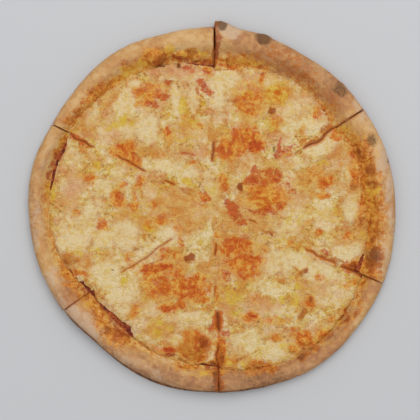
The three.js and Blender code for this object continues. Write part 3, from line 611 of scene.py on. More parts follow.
class Noise:
    """Seeded noise on arrays of points, for the shapes that are baked into meshes."""

    AXIS_MIX = np.array([374761393, 668265263, 974634721])
    SEED_MIX = 144665
    BIT_MIX = 1274126177
    LOW_BITS = 0xFFFFFFFF

    @classmethod
    def _hash(cls, cell: Array, seed: int) -> Array:
        """Gives each whole-numbered cell (N, 3) a fixed random share, 0 to 1."""
        mixed = ((cell * cls.AXIS_MIX).sum(axis=1) + seed * cls.SEED_MIX) & cls.LOW_BITS
        mixed = ((mixed ^ (mixed >> 13)) * cls.BIT_MIX) & cls.LOW_BITS
        return (mixed ^ (mixed >> 16)) / cls.LOW_BITS

    @classmethod
    def soft(cls, points: Array, size: float, seed: int) -> Array:
        """Gives smooth noise, -1 to 1, at places (N, 3), with lumps about a size long."""
        scaled = points / size
        base = np.floor(scaled).astype(np.int64)
        part = scaled - base
        ease = part * part * (3 - 2 * part)
        total = np.zeros(len(points))
        for corner in np.ndindex(2, 2, 2):
            weight = np.prod(np.where(corner, ease, 1 - ease), axis=1)
            total += weight * cls._hash(base + np.array(corner), seed)
        return 2 * total - 1

    @classmethod
    def layered(cls, points: Array, size: float, seed: int, layers: int = 3) -> Array:
        """Gives smooth noise with finer layers on it, from about -1 to 1.

        Args:
            points: Places (N, 3).
            size: Length of the largest lumps.
            seed: Picks the pattern.
            layers: How many layers, each half the size and height of the one before.

        Returns:
            Values from about -1 to 1.
        """
        parts = [cls.soft(points, size / 2**k, seed + k) / 2**k for k in range(layers)]
        return sum(parts) / sum(1 / 2**k for k in range(layers))

    @classmethod
    def cells(cls, points: Array, size: float, seed: int) -> Array:
        """Gives round cells in plan, such as curds or bubbles.

        Args:
            points: Places (N, 3), of which height is left out.
            size: Distance between cells.
            seed: Picks the pattern.

        Returns:
            Distance to the nearest cell's middle, as a share of size.
        """
        plan = points[:, :2] / size
        base = np.floor(plan).astype(np.int64)
        nearest = np.full(len(points), np.inf)
        for step in np.ndindex(3, 3):
            cell = base + np.array(step) - 1
            flat = np.column_stack([cell, np.zeros(len(cell), np.int64)])
            middle = cell + np.column_stack([cls._hash(flat, seed), cls._hash(flat, seed + 7)])
            nearest = np.minimum(nearest, np.hypot(*(middle - plan).T))
        return nearest


class Plan:
    """The pizza seen from above, measured from the frame's solids."""

    STEP = 1.0  # degrees between stored bearings
    HALF_WINDOW = 1.6  # degrees to each side that a bearing's reach is read from
    EDGE_SHARE = 0.75  # of a slice's largest radius, past which its points are edge points

    def __init__(self, nodes: Nodes) -> None:
        """Measures the outline and the foot of the slope at every bearing."""
        self.outer = self._reach(nodes, Layer.DOUGH)
        self.foot = self._reach(nodes, Layer.SAUCE)
        self.cheese = self._reach(nodes, Layer.CHEESE)

    def _reach(self, nodes: Nodes, layer: Layer) -> Array:
        """Finds how far a layer reaches at each bearing.

        Args:
            nodes: The frame's nodes by name.
            layer: Which layer to measure.

        Returns:
            Radii for bearings 0, STEP, 2 STEP and so on.
        """
        bearings, radii = [], []
        for number in range(1, SLICE_COUNT + 1):
            mesh = nodes[f"{layer.value}_{number}"].data
            points = mesh_points(mesh)
            radius, bearing = self.polar(points)
            edge = radius > radius.max() * self.EDGE_SHARE
            bearings.append(bearing[edge])
            radii.append(radius[edge])
        bearing, radius = np.concatenate(bearings), np.concatenate(radii)
        grid = np.arange(0, 360, self.STEP)
        reach = np.zeros(len(grid))
        for i, middle in enumerate(grid):
            near = np.abs((bearing - middle + 180) % 360 - 180) < self.HALF_WINDOW
            reach[i] = radius[near].max() if near.any() else np.nan
        known = ~np.isnan(reach)
        return np.interp(grid, grid[known], reach[known], period=360)

    @staticmethod
    def polar(points: Array) -> tuple[Array, Array]:
        """Turns points into radii and bearings in degrees about the outline's middle."""
        across, along = points[:, 0] - MIDDLE[0], points[:, 1] - MIDDLE[1]
        return np.hypot(across, along), np.degrees(np.arctan2(along, across)) % 360

    def past_foot(self, points: Array) -> Array:
        """Gives how far points lie outside the foot of the rim's slope, below 0 inside it."""
        radius, bearing = self.polar(points)
        return radius - self.at(self.foot, bearing)

    def at(self, reach: Array, bearing: Array) -> Array:
        """Looks up a stored reach at bearings in degrees."""
        return np.interp(bearing, np.arange(0, 360, self.STEP), reach, period=360)


@dataclass(frozen=True)
class Side:
    """One straight side of a slice.

    Attributes:
        cut: The cut that made it.
        sign: 1 where the slice lies anticlockwise of the cut, and -1 where it lies clockwise.
    """

    cut: Cut
    sign: int

    def measure(self, points: Array) -> tuple[Array, Array]:
        """Gives how far points lie from the hub along the cut, and from the cut into the slice."""
        across = self.cut.across
        offset = points[:, :2] - np.array(HUB)
        along = offset @ np.array([across[1], -across[0]])
        return along, self.sign * (offset @ across[:2])

    def inward(self) -> Array:
        """Gives the level direction from the cut into the slice."""
        return self.sign * self.cut.across

    def opened(self, along: Array) -> tuple[Array, Array, Array]:
        """Says how far the toppings stand open.

        Args:
            along: Distances from the hub.

        Returns:
            The groove's width and depth there, 0 where the cheese has closed again, and how far
            its middle lies from the cut into the slice, all in metres.
        """
        width = np.zeros(len(along))
        depth = np.zeros(len(along))
        path = np.column_stack([along, np.full(len(along), self.cut.bearing), 0 * along])
        shift = 1.6 * MM * Noise.soft(path, 12 * MM, 45) + 0.8 * MM * Noise.soft(path, 5 * MM, 46)
        for stretch in self.cut.openings:
            ends = smooth(along, stretch.start * MM - 2 * MM, stretch.start * MM + 7 * MM)
            ends *= smooth(along, stretch.end * MM + 2 * MM, stretch.end * MM - 7 * MM)
            width = np.maximum(width, ends * stretch.width * MM)
            depth = np.maximum(depth, ends * stretch.depth * MM)
            shift = shift + ends * stretch.shift * MM
        return width, depth, self.sign * shift


def solids_box() -> tuple[Array, Array]:
    """Gives the lowest and highest corners of the dough's solids, which hold all the others."""
    boxes = [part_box(f"dough_{number}") for number in range(1, SLICE_COUNT + 1)]
    low = np.min([np.array(box[0]) for box in boxes], axis=0)
    high = np.max([np.array(box[1]) for box in boxes], axis=0)
    return low, high


def seen_from_above(points: Array) -> Array:
    """Slides points to where they seem to lie from the camera, as CRUST_SPOTS gives places."""
    middle = np.array([CAMERA_SHIFT, MIDDLE[1], 0.0])
    scale = (CAMERA_HEIGHT - SEEN_LEVEL) / (CAMERA_HEIGHT - points[:, 2])
    return (middle + (points - middle) * scale[:, None]) * LEVEL


def slice_sides(number: int) -> tuple[Side, Side]:
    """Gives a slice's two sides, the clockwise one first, for slices 1 to 6."""
    return Side(CUTS[number - 1], 1), Side(CUTS[number % SLICE_COUNT], -1)


def mesh_points(mesh: bpy.types.Mesh) -> Array:
    """Reads a mesh's vertices as an array (N, 3)."""
    points = np.empty(len(mesh.vertices) * 3)
    mesh.vertices.foreach_get("co", points)
    return points.reshape(-1, 3)


def mesh_normals(mesh: bpy.types.Mesh) -> Array:
    """Reads a mesh's vertex normals as an array (N, 3)."""
    normals = np.empty(len(mesh.vertices) * 3, np.float32)
    mesh.vertex_normals.foreach_get("vector", normals)
    return normals.reshape(-1, 3)


def set_points(mesh: bpy.types.Mesh, points: Array) -> None:
    """Writes vertices back to a mesh."""
    mesh.vertices.foreach_set("co", points.astype(np.float32).ravel())
    mesh.update()


def set_mask(mesh: bpy.types.Mesh, name: str, values: Array) -> None:
    """Stores one number a vertex as a named attribute that materials read."""
    layer = mesh.attributes.new(name, "FLOAT", "POINT")
    layer.data.foreach_set("value", values.astype(np.float32))


def paint_spots(spots: Sequence[Spot], points: Array, seed: int) -> Array:
    """Works out how strongly a set of spots shows at each point, with wavering edges.

    Args:
        spots: The spots, placed from the pizza's middle.
        points: Places (N, 3).
        seed: Picks how the edges waver.

    Returns:
        Strengths from 0 to 1, about two thirds of a spot's own at its stated edge.
    """
    waver = [Noise.layered(points, 9 * MM, start, 4) for start in (seed, seed + 50)]
    plan = (points[:, :2] - np.array(MIDDLE)) / MM + EDGE_WAVER * np.column_stack(waver)
    total = np.zeros(len(points))
    for spot in spots:
        reach = SPOT_FADE[0] * max(spot.long, spot.wide)
        near = np.flatnonzero(
            (np.abs(plan[:, 0] - spot.x) < reach) & (np.abs(plan[:, 1] - spot.y) < reach)
        )
        here = spot.strength * smooth(np.hypot(*spot.measure(plan[near])), *SPOT_FADE)
        total[near] = np.maximum(total[near], here)
    return total


def blister_heights(blisters: Sequence[Spot], points: Array) -> Array:
    """Gives the height, in metres, of the round blisters over each point."""
    plan = (points[:, :2] - np.array(MIDDLE)) / MM
    height = np.zeros(len(points))
    for blister in blisters:
        along, over = blister.measure(plan)
        dome = np.clip(1 - along**2 - over**2, 0, 1) ** 0.7
        height = np.maximum(height, blister.strength * BLISTER_LIFT * dome)
    return height


class HeightField:
    """Heights on an even grid over the whole pizza, for looking up a surface from above."""

    SPACING = 1.0 * MM
    HALF_COUNT = 172  # steps from the frame's middle to each side of the grid
    START = 50 * MM  # where the rays start, above everything

    def __init__(self, surface: BVHTree) -> None:
        """Drops a ray at every grid point onto a surface."""
        steps = np.arange(-self.HALF_COUNT, self.HALF_COUNT + 1) * self.SPACING
        self.across, self.along = np.meshgrid(steps, steps, indexing="ij")
        self.heights = np.full(self.across.shape, np.nan)
        down = Vector((0, 0, -1))
        for i, x in enumerate(steps):
            for j, y in enumerate(steps):
                hit = surface.ray_cast(Vector((x, y, self.START)), down)[0]
                if hit is not None:
                    self.heights[i, j] = hit.z

    def spots(self) -> Array:
        """Gives the grid's points (N, 3), level with the floor."""
        flat = np.zeros(self.across.size)
        return np.column_stack([self.across.ravel(), self.along.ravel(), flat])

    def spread(self, rounds: int, unknown: Array | None = None) -> None:
        """Fills unknown heights smoothly from those around them.

        Args:
            rounds: How many times each unknown height takes its neighbours' mean.
            unknown: Which heights to forget first, beside those that no ray found.
        """
        missing = np.isnan(self.heights)
        if unknown is not None:
            missing |= unknown
        known_mean = self.heights[~missing].mean()
        heights = np.where(missing, known_mean, self.heights)
        for _ in range(rounds):
            mean = np.zeros_like(heights)
            for step, axis in ((1, 0), (-1, 0), (1, 1), (-1, 1)):
                mean += 0.25 * np.roll(heights, step, axis)
            heights[missing] = mean[missing]
        self.heights = heights

    def soften(self, rounds: int) -> None:
        """Rounds the whole surface off a little, by a 1-2-1 blur each round."""
        for _ in range(rounds):
            for axis in (0, 1):
                ahead, behind = np.roll(self.heights, 1, axis), np.roll(self.heights, -1, axis)
                self.heights = 0.5 * self.heights + 0.25 * (ahead + behind)

    def at(self, points: Array) -> Array:
        """Looks up the height under each point (N, 2 or 3), between the grid's own points."""
        place = points[:, :2] / self.SPACING + self.HALF_COUNT
        place = np.clip(place, 0, 2 * self.HALF_COUNT - 1.001)  # just inside the last square
        base = place.astype(np.int64)
        i, j = base.T
        u, v = (place - base).T
        grid = self.heights
        near = grid[i, j] * (1 - v) + grid[i, j + 1] * v
        far = grid[i + 1, j] * (1 - v) + grid[i + 1, j + 1] * v
        return near * (1 - u) + far * u


class Wiring:
    """Short ways to place and join the nodes of one tree."""

    def __init__(self, tree: bpy.types.NodeTree) -> None:
        """Keeps the tree to work on."""
        self.tree = tree

    def put(self, kind: str, **settings: object) -> bpy.types.Node:
        """Places a node of a type, such as "ShaderNodeMath", and sets its own properties."""
        node = self.tree.nodes.new(kind)
        for key, value in settings.items():
            setattr(node, key, value)
        return node

    def feed(self, socket: Socket, value: object) -> None:
        """Links a socket to another socket, or sets it to a plain value."""
        if isinstance(value, Socket):
            self.tree.links.new(value, socket)
        else:
            socket.default_value = value

    def math(self, operation: str, first: object, second: object = 0.0) -> Socket:
        """Does one sum on numbers or sockets."""
        node = self.put("ShaderNodeMath", operation=operation)
        self.feed(node.inputs[0], first)
        self.feed(node.inputs[1], second)
        return node.outputs[0]

    def times(self, first: object, second: object) -> Socket:
        """Multiplies two numbers or sockets."""
        return self.math("MULTIPLY", first, second)

    def weigh(self, *parts: tuple[Socket, float]) -> Socket:
        """Adds sockets up, each by its weight."""
        total = self.times(*parts[0])
        for value, weight in parts[1:]:
            total = self.math("ADD", total, self.times(value, weight))
        return total

    def remap(
        self, value: object, low: float, high: float, to_low: float = 0.0, to_high: float = 1.0
    ) -> Socket:
        """Maps a value smoothly from one range to another, held at the ends."""
        node = self.put("ShaderNodeMapRange", interpolation_type="SMOOTHSTEP")
        self.feed(node.inputs["Value"], value)
        node.inputs["From Min"].default_value = low
        node.inputs["From Max"].default_value = high
        node.inputs["To Min"].default_value = to_low
        node.inputs["To Max"].default_value = to_high
        return node.outputs["Result"]

    def blend(self, share: object, below: object, above: object) -> Socket:
        """Mixes two colours by a share of the second."""
        node = self.put("ShaderNodeMix", data_type="RGBA")
        self.feed(node.inputs[0], share)
        self.feed(node.inputs[6], below)
        self.feed(node.inputs[7], above)
        return node.outputs[2]

    def coat(self, color: object, *coats: tuple[Socket, float, object]) -> Socket:
        """Lays colours over another one by one, each where its mask shows, at its strength."""
        for mask, strength, above in coats:
            color = self.blend(self.times(mask, strength), color, above)
        return color

    def ramp(self, value: object, stops: Sequence[tuple[float, Color]]) -> Socket:
        """Colours a value by a ramp of positions from 0 to 1 with their colours."""
        node = self.put("ShaderNodeValToRGB")
        elements = node.color_ramp.elements
        while len(elements) < len(stops):
            elements.new(0.5)
        for element, (position, color) in zip(elements, stops):
            element.position = position
            element.color = color
        self.feed(node.inputs["Fac"], value)
        return node.outputs["Color"]

    def noise(self, place: Socket, size: float, detail: float = 2.0, rough: float = 0.5) -> Socket:
        """Gives noise with lumps of about the given size in metres, spread over 0 to 1."""
        node = self.put("ShaderNodeTexNoise")
        self.feed(node.inputs["Vector"], place)
        node.inputs["Scale"].default_value = 1 / size
        node.inputs["Detail"].default_value = detail
        node.inputs["Roughness"].default_value = rough
        node.inputs["Distortion"].default_value = 0.35
        return self.remap(node.outputs["Fac"], 0.28, 0.72)

    def mask(self, name: str) -> Socket:
        """Reads a mesh attribute."""
        return self.put("ShaderNodeAttribute", attribute_name=name).outputs["Fac"]

    def place(self) -> Socket:
        """Gives the Object coordinates."""
        return self.put("ShaderNodeTexCoord").outputs["Object"]

    def dress(self, color: object, roughness: object, specular: float) -> None:
        """Gives the tree's Principled shader its colour, its roughness and its specular level."""
        inputs = self.tree.nodes["Principled BSDF"].inputs
        self.feed(inputs["Base Color"], color)
        self.feed(inputs["Roughness"], roughness)
        self.feed(inputs["Specular IOR Level"], specular)

    def bumps(self, height: Socket, distance: float, strength: float) -> None:
        """Makes that shader's surface bumpy, by heights of 0 to 1 where 1 is a distance high."""
        bump = self.put("ShaderNodeBump")
        bump.inputs["Strength"].default_value = strength
        bump.inputs["Distance"].default_value = distance
        self.feed(bump.inputs["Height"], height)
        self.feed(self.tree.nodes["Principled BSDF"].inputs["Normal"], bump.outputs["Normal"])


def new_material(name: str) -> tuple[bpy.types.Material, Wiring]:
    """Makes a node material with nothing in it but its Principled shader and output."""
    material = bpy.data.materials.new(name)
    material.use_nodes = True
    return material, Wiring(material.node_tree)


class BakedEffects:
    """Node groups that several finishes share."""

    def __init__(self) -> None:
        """Builds each group once."""
        self.stained = self._stained()
        self.flecked = self._flecked()
        self.veined = self._veined()

    @staticmethod
    def _start_group(
        name: str, numbers: Sequence[str], result: str
    ) -> tuple[Tree, Wiring, bpy.types.Node, bpy.types.Node]:
        """Starts a group that takes a place and some numbers and gives one number.

        Args:
            name: The group's name.
            numbers: Names of its number inputs.
            result: Name of its output.

        Returns:
            The group, its wiring, its input node and its output node.
        """
        group = bpy.data.node_groups.new(name, "ShaderNodeTree")
        group.interface.new_socket("Place", in_out="INPUT", socket_type="NodeSocketVector")
        for number in numbers:
            group.interface.new_socket(number, in_out="INPUT", socket_type="NodeSocketFloat")
        group.interface.new_socket(result, in_out="OUTPUT", socket_type="NodeSocketFloat")
        wire = Wiring(group)
        return group, wire, wire.put("NodeGroupInput"), wire.put("NodeGroupOutput")

    @classmethod
    def _stained(cls) -> Tree:
        """Makes the group that breaks a soft mask up into a stain of grains with a ragged edge."""
        names = ("Mask", "Scale", "Raggedness")
        group, wire, start, end = cls._start_group("grainy stain", names, "Stain")
        grain = wire.put("ShaderNodeTexNoise")
        grain.inputs["Detail"].default_value = 4.0
        grain.inputs["Roughness"].default_value = 0.72
        grain.inputs["Distortion"].default_value = 0.5
        wire.feed(grain.inputs["Vector"], start.outputs["Place"])
        wire.feed(grain.inputs["Scale"], start.outputs["Scale"])
        shift = wire.math("SUBTRACT", grain.outputs["Fac"], 0.5)
        shift = wire.times(shift, start.outputs["Raggedness"])
        # Nothing shows far from a stain, however strong the grain is there.
        shift = wire.times(shift, wire.remap(start.outputs["Mask"], 0.0, 0.35))
        total = wire.math("ADD", start.outputs["Mask"], shift)
        wire.feed(end.inputs["Stain"], wire.remap(total, 0.08, 0.92))
        return group

    @classmethod
    def _flecked(cls) -> Tree:
        """Makes the group that scatters small soft flecks."""
        group, wire, start, end = cls._start_group("flecks", ("Scale", "Cover"), "Flecks")
        bend = wire.put("ShaderNodeTexNoise")
        wire.feed(bend.inputs["Vector"], start.outputs["Place"])
        wire.feed(bend.inputs["Scale"], start.outputs["Scale"])
        bent = wire.put("ShaderNodeVectorMath", operation="MULTIPLY_ADD")
        wire.feed(bent.inputs[0], bend.outputs["Color"])
        bent.inputs[1].default_value = (1.6 * MM, 1.6 * MM, 0.0)
        wire.feed(bent.inputs[2], start.outputs["Place"])
        cells = wire.put("ShaderNodeTexVoronoi", feature="F1")
        wire.feed(cells.inputs["Vector"], bent.outputs["Vector"])
        wire.feed(cells.inputs["Scale"], start.outputs["Scale"])
        near = wire.remap(cells.outputs["Distance"], 0.5, 0.15)
        split = wire.put("ShaderNodeSeparateColor")
        wire.feed(split.inputs["Color"], cells.outputs["Color"])
        chosen = wire.math("LESS_THAN", split.outputs[0], start.outputs["Cover"])
        wire.feed(end.inputs["Flecks"], wire.times(near, chosen))
        return group

    @classmethod
    def _veined(cls) -> Tree:
        """Makes the group that draws thin wandering veins, as oil leaves between curds."""
        group, wire, start, end = cls._start_group("veins", ("Scale", "Width"), "Veins")
        wander = wire.put("ShaderNodeTexNoise")
        wander.inputs["Detail"].default_value = 2.0
        wander.inputs["Distortion"].default_value = 1.2
        wire.feed(wander.inputs["Vector"], start.outputs["Place"])
        wire.feed(wander.inputs["Scale"], start.outputs["Scale"])
        level = wire.math("ABSOLUTE", wire.math("SUBTRACT", wander.outputs["Fac"], 0.5))
        inside = wire.math("DIVIDE", level, start.outputs["Width"])
        wire.feed(end.inputs["Veins"], wire.remap(inside, 1.0, 0.2))
        return group

    @staticmethod
    def _use(wire: Wiring, group: Tree, place: Socket, **values: object) -> Socket:
        """Places a group in a material and gives its inputs, named as in the group."""
        node = wire.put("ShaderNodeGroup", node_tree=group)
        wire.feed(node.inputs["Place"], place)
        for name, value in values.items():
            wire.feed(node.inputs[name], value)
        return node.outputs[0]

    def stain(
        self,
        wire: Wiring,
        mask: Socket,
        place: Socket,
        size: float,
        raggedness: float,
    ) -> Socket:
        """Breaks a mask up into grains of a size in metres."""
        settings = {"Mask": mask, "Scale": 1 / size, "Raggedness": raggedness}
        return self._use(wire, self.stained, place, **settings)

    def stains(
        self, wire: Wiring, place: Socket, *grains: tuple[Tint, float, float]
    ) -> dict[Tint, Socket]:
        """Breaks up the masks of several tints, each with its grain's size and raggedness."""
        return {
            tint: self.stain(wire, wire.mask(tint.value), place, size, raggedness)
            for tint, size, raggedness in grains
        }

    def flecks(self, wire: Wiring, place: Socket, size: float, cover: object) -> Socket:
        """Scatters flecks that lie about a size apart, in the given share of their places."""
        return self._use(wire, self.flecked, place, Scale=1 / size, Cover=cover)

    def veins(self, wire: Wiring, place: Socket, size: float, width: float) -> Socket:
        """Draws veins round shapes of a size in metres."""
        return self._use(wire, self.veined, place, Scale=1 / size, Width=width)


@dataclass(frozen=True)
class CheeseFinish:
    """Melted mozzarella: cream and gold curd, stained by oil and tomato and toasted in spots."""

    white: Color = shade(231, 207, 158)
    cream: Color = shade(225, 193, 122)
    greenish: Color = shade(219, 188, 102)
    buff: Color = shade(218, 170, 94)
    tan: Color = shade(206, 132, 54)
    brownish: Color = shade(140, 84, 30)
    butter: Color = shade(208, 160, 16)
    butter_light: Color = shade(222, 190, 66)
    orange_dark: Color = shade(194, 84, 14)
    orange: Color = shade(208, 108, 24)
    orange_light: Color = shade(216, 138, 42)
    orange_pale: Color = shade(222, 172, 84)
    tomato_dark: Color = shade(172, 52, 8)
    tomato: Color = shade(198, 78, 16)
    toast: Color = shade(196, 118, 36)
    toast_dark: Color = shade(150, 64, 6)
    burnt: Color = shade(84, 40, 18)
    # red-brown down the open grooves: sauce showing through, and painted shade
    groove_sauce_shade: Color = shade(124, 54, 14)
    edge: Color = shade(210, 148, 74)
    rosy: Color = shade(214, 152, 108)

    def build(self, effects: BakedEffects) -> bpy.types.Material:
        """Makes the material, with the help of the shared node groups."""
        material, wire = new_material("melted cheese")
        place = wire.place()
        fine = wire.noise(place, 1.4 * MM, 2.0, 0.6)
        curd = wire.noise(place, 4.2 * MM, 3.0, 0.6)
        broad = wire.noise(place, 13 * MM, 3.0, 0.55)
        patchy = wire.noise(place, 8 * MM, 4.0, 0.65)
        color = self._curd_color(wire, effects, place, fine, curd, broad)
        grain = wire.remap(wire.weigh((fine, 0.15), (curd, 0.4), (patchy, 0.45)), 0.2, 0.8)
        rag = effects.stains(
            wire,
            place,
            (Tint.TAN, 12 * MM, 1.8),
            (Tint.PALE, 11 * MM, 1.5),
            (Tint.ROSY, 8 * MM, 1.8),
            (Tint.YELLOW, 5 * MM, 2.2),
            (Tint.ORANGE, 7 * MM, 2.2),
            (Tint.RED, 4 * MM, 3.6),
            (Tint.BROWN, 4 * MM, 1.8),
            (Tint.CHAR, 1.6 * MM, 1.6),
        )
        golden = wire.ramp(grain, [(0.15, self.tan), (0.5, self.edge), (0.85, self.buff)])
        thin_oil = wire.remap(wire.mask(Tint.ORANGE.value), 0.9, 0.2, 0.0, 0.35)
        stops = [(0.1, self.orange_dark), (0.34, self.orange)]
        stops += [(0.62, self.orange_light), (0.95, self.orange_pale)]
        oily = wire.ramp(wire.math("ADD", wire.times(grain, 0.85), thin_oil), stops)
        toasted = wire.remap(wire.weigh((wire.mask(Tint.BROWN.value), 0.8), (grain, -0.3)), 0.2, 0.65)
        rim = [(0.1, self.brownish), (0.4, self.edge), (0.75, self.buff), (1.0, self.cream)]
        edge = effects.stain(wire, wire.mask("edge"), place, 6 * MM, 1.8)
        halo = effects.stain(wire, wire.mask("stained"), place, 4 * MM, 1.2)
        color = wire.coat(
            color,
            (rag[Tint.TAN], 0.85, golden),
            (rag[Tint.PALE], 0.85, wire.blend(wire.remap(grain, 0.5, 0.95), self.white, self.cream)),
            (rag[Tint.ROSY], 0.6, self.rosy),
            (rag[Tint.YELLOW], 0.85, wire.blend(grain, self.butter, self.butter_light)),
            (rag[Tint.ORANGE], 0.95, oily),
            (rag[Tint.RED], 0.82, wire.blend(grain, self.tomato_dark, self.tomato)),
            (rag[Tint.BROWN], 0.9, wire.blend(toasted, self.toast, self.toast_dark)),
            (rag[Tint.CHAR], 0.9, self.burnt),
            (edge, 0.75, wire.ramp(grain, rim)),
            (halo, 0.65, self.orange),
            (wire.mask("groove_sauce_shade"), 1.0, self.groove_sauce_shade),
        )
        oil = wire.math("MAXIMUM", rag[Tint.ORANGE], rag[Tint.YELLOW])
        wet = wire.weigh((oil, 0.5), (curd, 0.5))
        wire.dress(color, wire.remap(wet, 0.1, 1.0, 0.62, 0.36), 0.2)
        wire.bumps(wire.weigh((fine, 0.8), (curd, 1.0)), 0.65 * MM, 0.9)
        return material

    def _curd_color(
        self,
        wire: Wiring,
        effects: BakedEffects,
        place: Socket,
        fine: Socket,
        curd: Socket,
        broad: Socket,
    ) -> Socket:
        """Colours plain curd: cream to tan, with olive flecks and veins of golden oil.

        Args:
            wire: The material's wiring.
            effects: The shared node groups.
            place: Object coordinates.
            fine: Noise of about a millimetre.
            curd: Noise of a few millimetres.
            broad: Noise of a dozen millimetres.

        Returns:
            The colour.
        """
        mix = wire.remap(wire.weigh((broad, 0.5), (curd, 0.3), (fine, 0.2)), 0.1, 0.9)
        stops = [(0.2, self.white), (0.4, self.cream), (0.55, self.greenish)]
        stops += [(0.7, self.buff), (0.88, self.tan)]
        crumbs = effects.flecks(wire, place, 2.8 * MM, wire.remap(broad, 0.2, 0.9, 0.08, 0.35))
        blotches = wire.remap(wire.noise(place, 2.6 * MM, 4.0, 0.75), 0.3, 0.05)
        # Small dark specks over the curd, painted shade of its pits.
        pit_shade = wire.times(wire.remap(fine, 0.32, 0.08), wire.remap(curd, 0.2, 0.6))
        oil_veins = effects.veins(wire, place, 6 * MM, 0.035)
        oily_places = wire.remap(wire.noise(place, 24 * MM, 1.0), 0.35, 0.8)
        return wire.coat(
            wire.ramp(mix, stops),
            (wire.remap(wire.noise(place, 17 * MM, 2.0), 0.35, 0.75), 0.4, self.rosy),
            (effects.veins(wire, place, 11 * MM, 0.014), 0.45, self.brownish),
            (crumbs, 0.4, self.brownish),
            (wire.times(blotches, wire.remap(broad, 0.15, 0.6)), 0.85, self.brownish),
            (pit_shade, 0.6, self.brownish),
            (
                wire.times(oil_veins, oily_places),
                0.9,
                wire.blend(fine, self.butter, self.butter_light),
            ),
        )


@dataclass(frozen=True)
class CrustFinish:
    """Baked dough: matte tan skin, floury outside, oily and golden down the inner slope."""

    tan: Color = shade(200, 151, 94)
    tan_light: Color = shade(212, 172, 120)
    rosy: Color = shade(190, 134, 90)
    dusk: Color = shade(150, 104, 76)
    golden: Color = shade(216, 160, 66)
    golden_light: Color = shade(222, 180, 98)
    oily: Color = shade(204, 118, 34)
    oily_dark: Color = shade(164, 78, 16)
    butter: Color = shade(222, 176, 60)
    flour: Color = shade(206, 176, 146)
    brown: Color = shade(186, 106, 38)
    brown_dark: Color = shade(146, 74, 26)
    tomato: Color = shade(156, 66, 34)
    char: Color = shade(104, 70, 44)
    film: Color = shade(218, 180, 114)
    crumb: Color = shade(188, 112, 54)
    underside: Color = shade(140, 92, 56)
    # dark of the burnt underside, also painted shade along the rim's front left foot
    scorch_and_shade: Color = shade(100, 70, 46)

    def build(self, effects: BakedEffects) -> bpy.types.Material:
        """Makes the material, with the help of the shared node groups."""
        material, wire = new_material("baked crust")
        place = wire.place()
        fine = wire.noise(place, 1.1 * MM, 3.0, 0.6)
        lumps = wire.noise(place, 5 * MM, 3.0, 0.6)
        broad = wire.noise(place, 22 * MM, 3.0, 0.55)
        mix = wire.weigh((broad, 0.5), (lumps, 0.3), (fine, 0.2))
        color = wire.ramp(mix, [(0.22, self.rosy), (0.48, self.tan), (0.75, self.tan_light)])
        grain = wire.remap(wire.weigh((fine, 0.45), (lumps, 0.55)), 0.25, 0.75)
        slope = effects.stain(wire, wire.mask("slope"), place, 6 * MM, 1.6)
        stops = [(0.08, self.oily_dark), (0.28, self.oily), (0.5, self.golden), (0.85, self.golden_light)]
        baked = wire.ramp(wire.weigh((grain, 0.5), (wire.mask("streaks"), 0.5)), stops)
        film = effects.stain(wire, wire.mask("film"), place, 5 * MM, 2.6)
        greasy = wire.ramp(grain, [(0.0, self.oily), (0.3, self.golden), (0.7, self.film)])
        color = wire.coat(color, (slope, 0.8, baked), (film, 0.85, greasy))
        rag = effects.stains(
            wire,
            place,
            (Tint.TAN, 6 * MM, 2.6),
            (Tint.ROSY, 7 * MM, 2.4),
            (Tint.PALE, 9 * MM, 2.4),
            (Tint.YELLOW, 3.4 * MM, 3.0),
            (Tint.ORANGE, 3.6 * MM, 3.2),
            (Tint.RED, 3 * MM, 3.0),
            (Tint.BROWN, 3.6 * MM, 2.8),
            (Tint.CHAR, 4 * MM, 1.5),
        )
        grain = wire.weigh((grain, 0.5), (wire.mask("streaks"), 0.5))
        oily = wire.ramp(grain, [(0.15, self.oily_dark), (0.45, self.oily), (0.85, self.golden)])
        darker = wire.remap(wire.weigh((wire.mask(Tint.BROWN.value), 0.8), (grain, -0.3)), 0.2, 0.65)
        base = wire.ramp(lumps, [(0.2, self.scorch_and_shade), (0.7, self.underside)])
        color = wire.coat(
            color,
            (rag[Tint.TAN], 0.7, wire.blend(grain, self.brown, self.golden)),
            (rag[Tint.ROSY], 0.75, wire.blend(lumps, self.dusk, self.rosy)),
            (rag[Tint.PALE], 0.8, self.flour),
            (rag[Tint.YELLOW], 0.85, self.butter),
            (rag[Tint.ORANGE], 0.9, oily),
            (rag[Tint.RED], 0.8, self.tomato),
            (rag[Tint.BROWN], 0.85, wire.blend(darker, self.brown, self.brown_dark)),
            (rag[Tint.CHAR], 0.85, self.char),
            (effects.flecks(wire, place, 4 * MM, 0.2), 0.15, self.brown),
            (wire.mask("crumb"), 1.0, self.crumb),
            # painted shade beside the knife's gaps on the rim
            (wire.mask("cut"), 1.0, self.brown_dark),
            # underside, and the rim's front left foot, burnt and painted shade where it meets the floor
            (wire.mask("under"), 1.0, base),
        )
        oil = wire.math("MAXIMUM", rag[Tint.ORANGE], wire.times(slope, 0.7))
        wire.dress(color, wire.remap(oil, 0.0, 1.0, 0.8, 0.45), 0.2)
        wire.bumps(wire.weigh((fine, 0.7), (lumps, 1.0)), 0.35 * MM, 0.6)
        return material


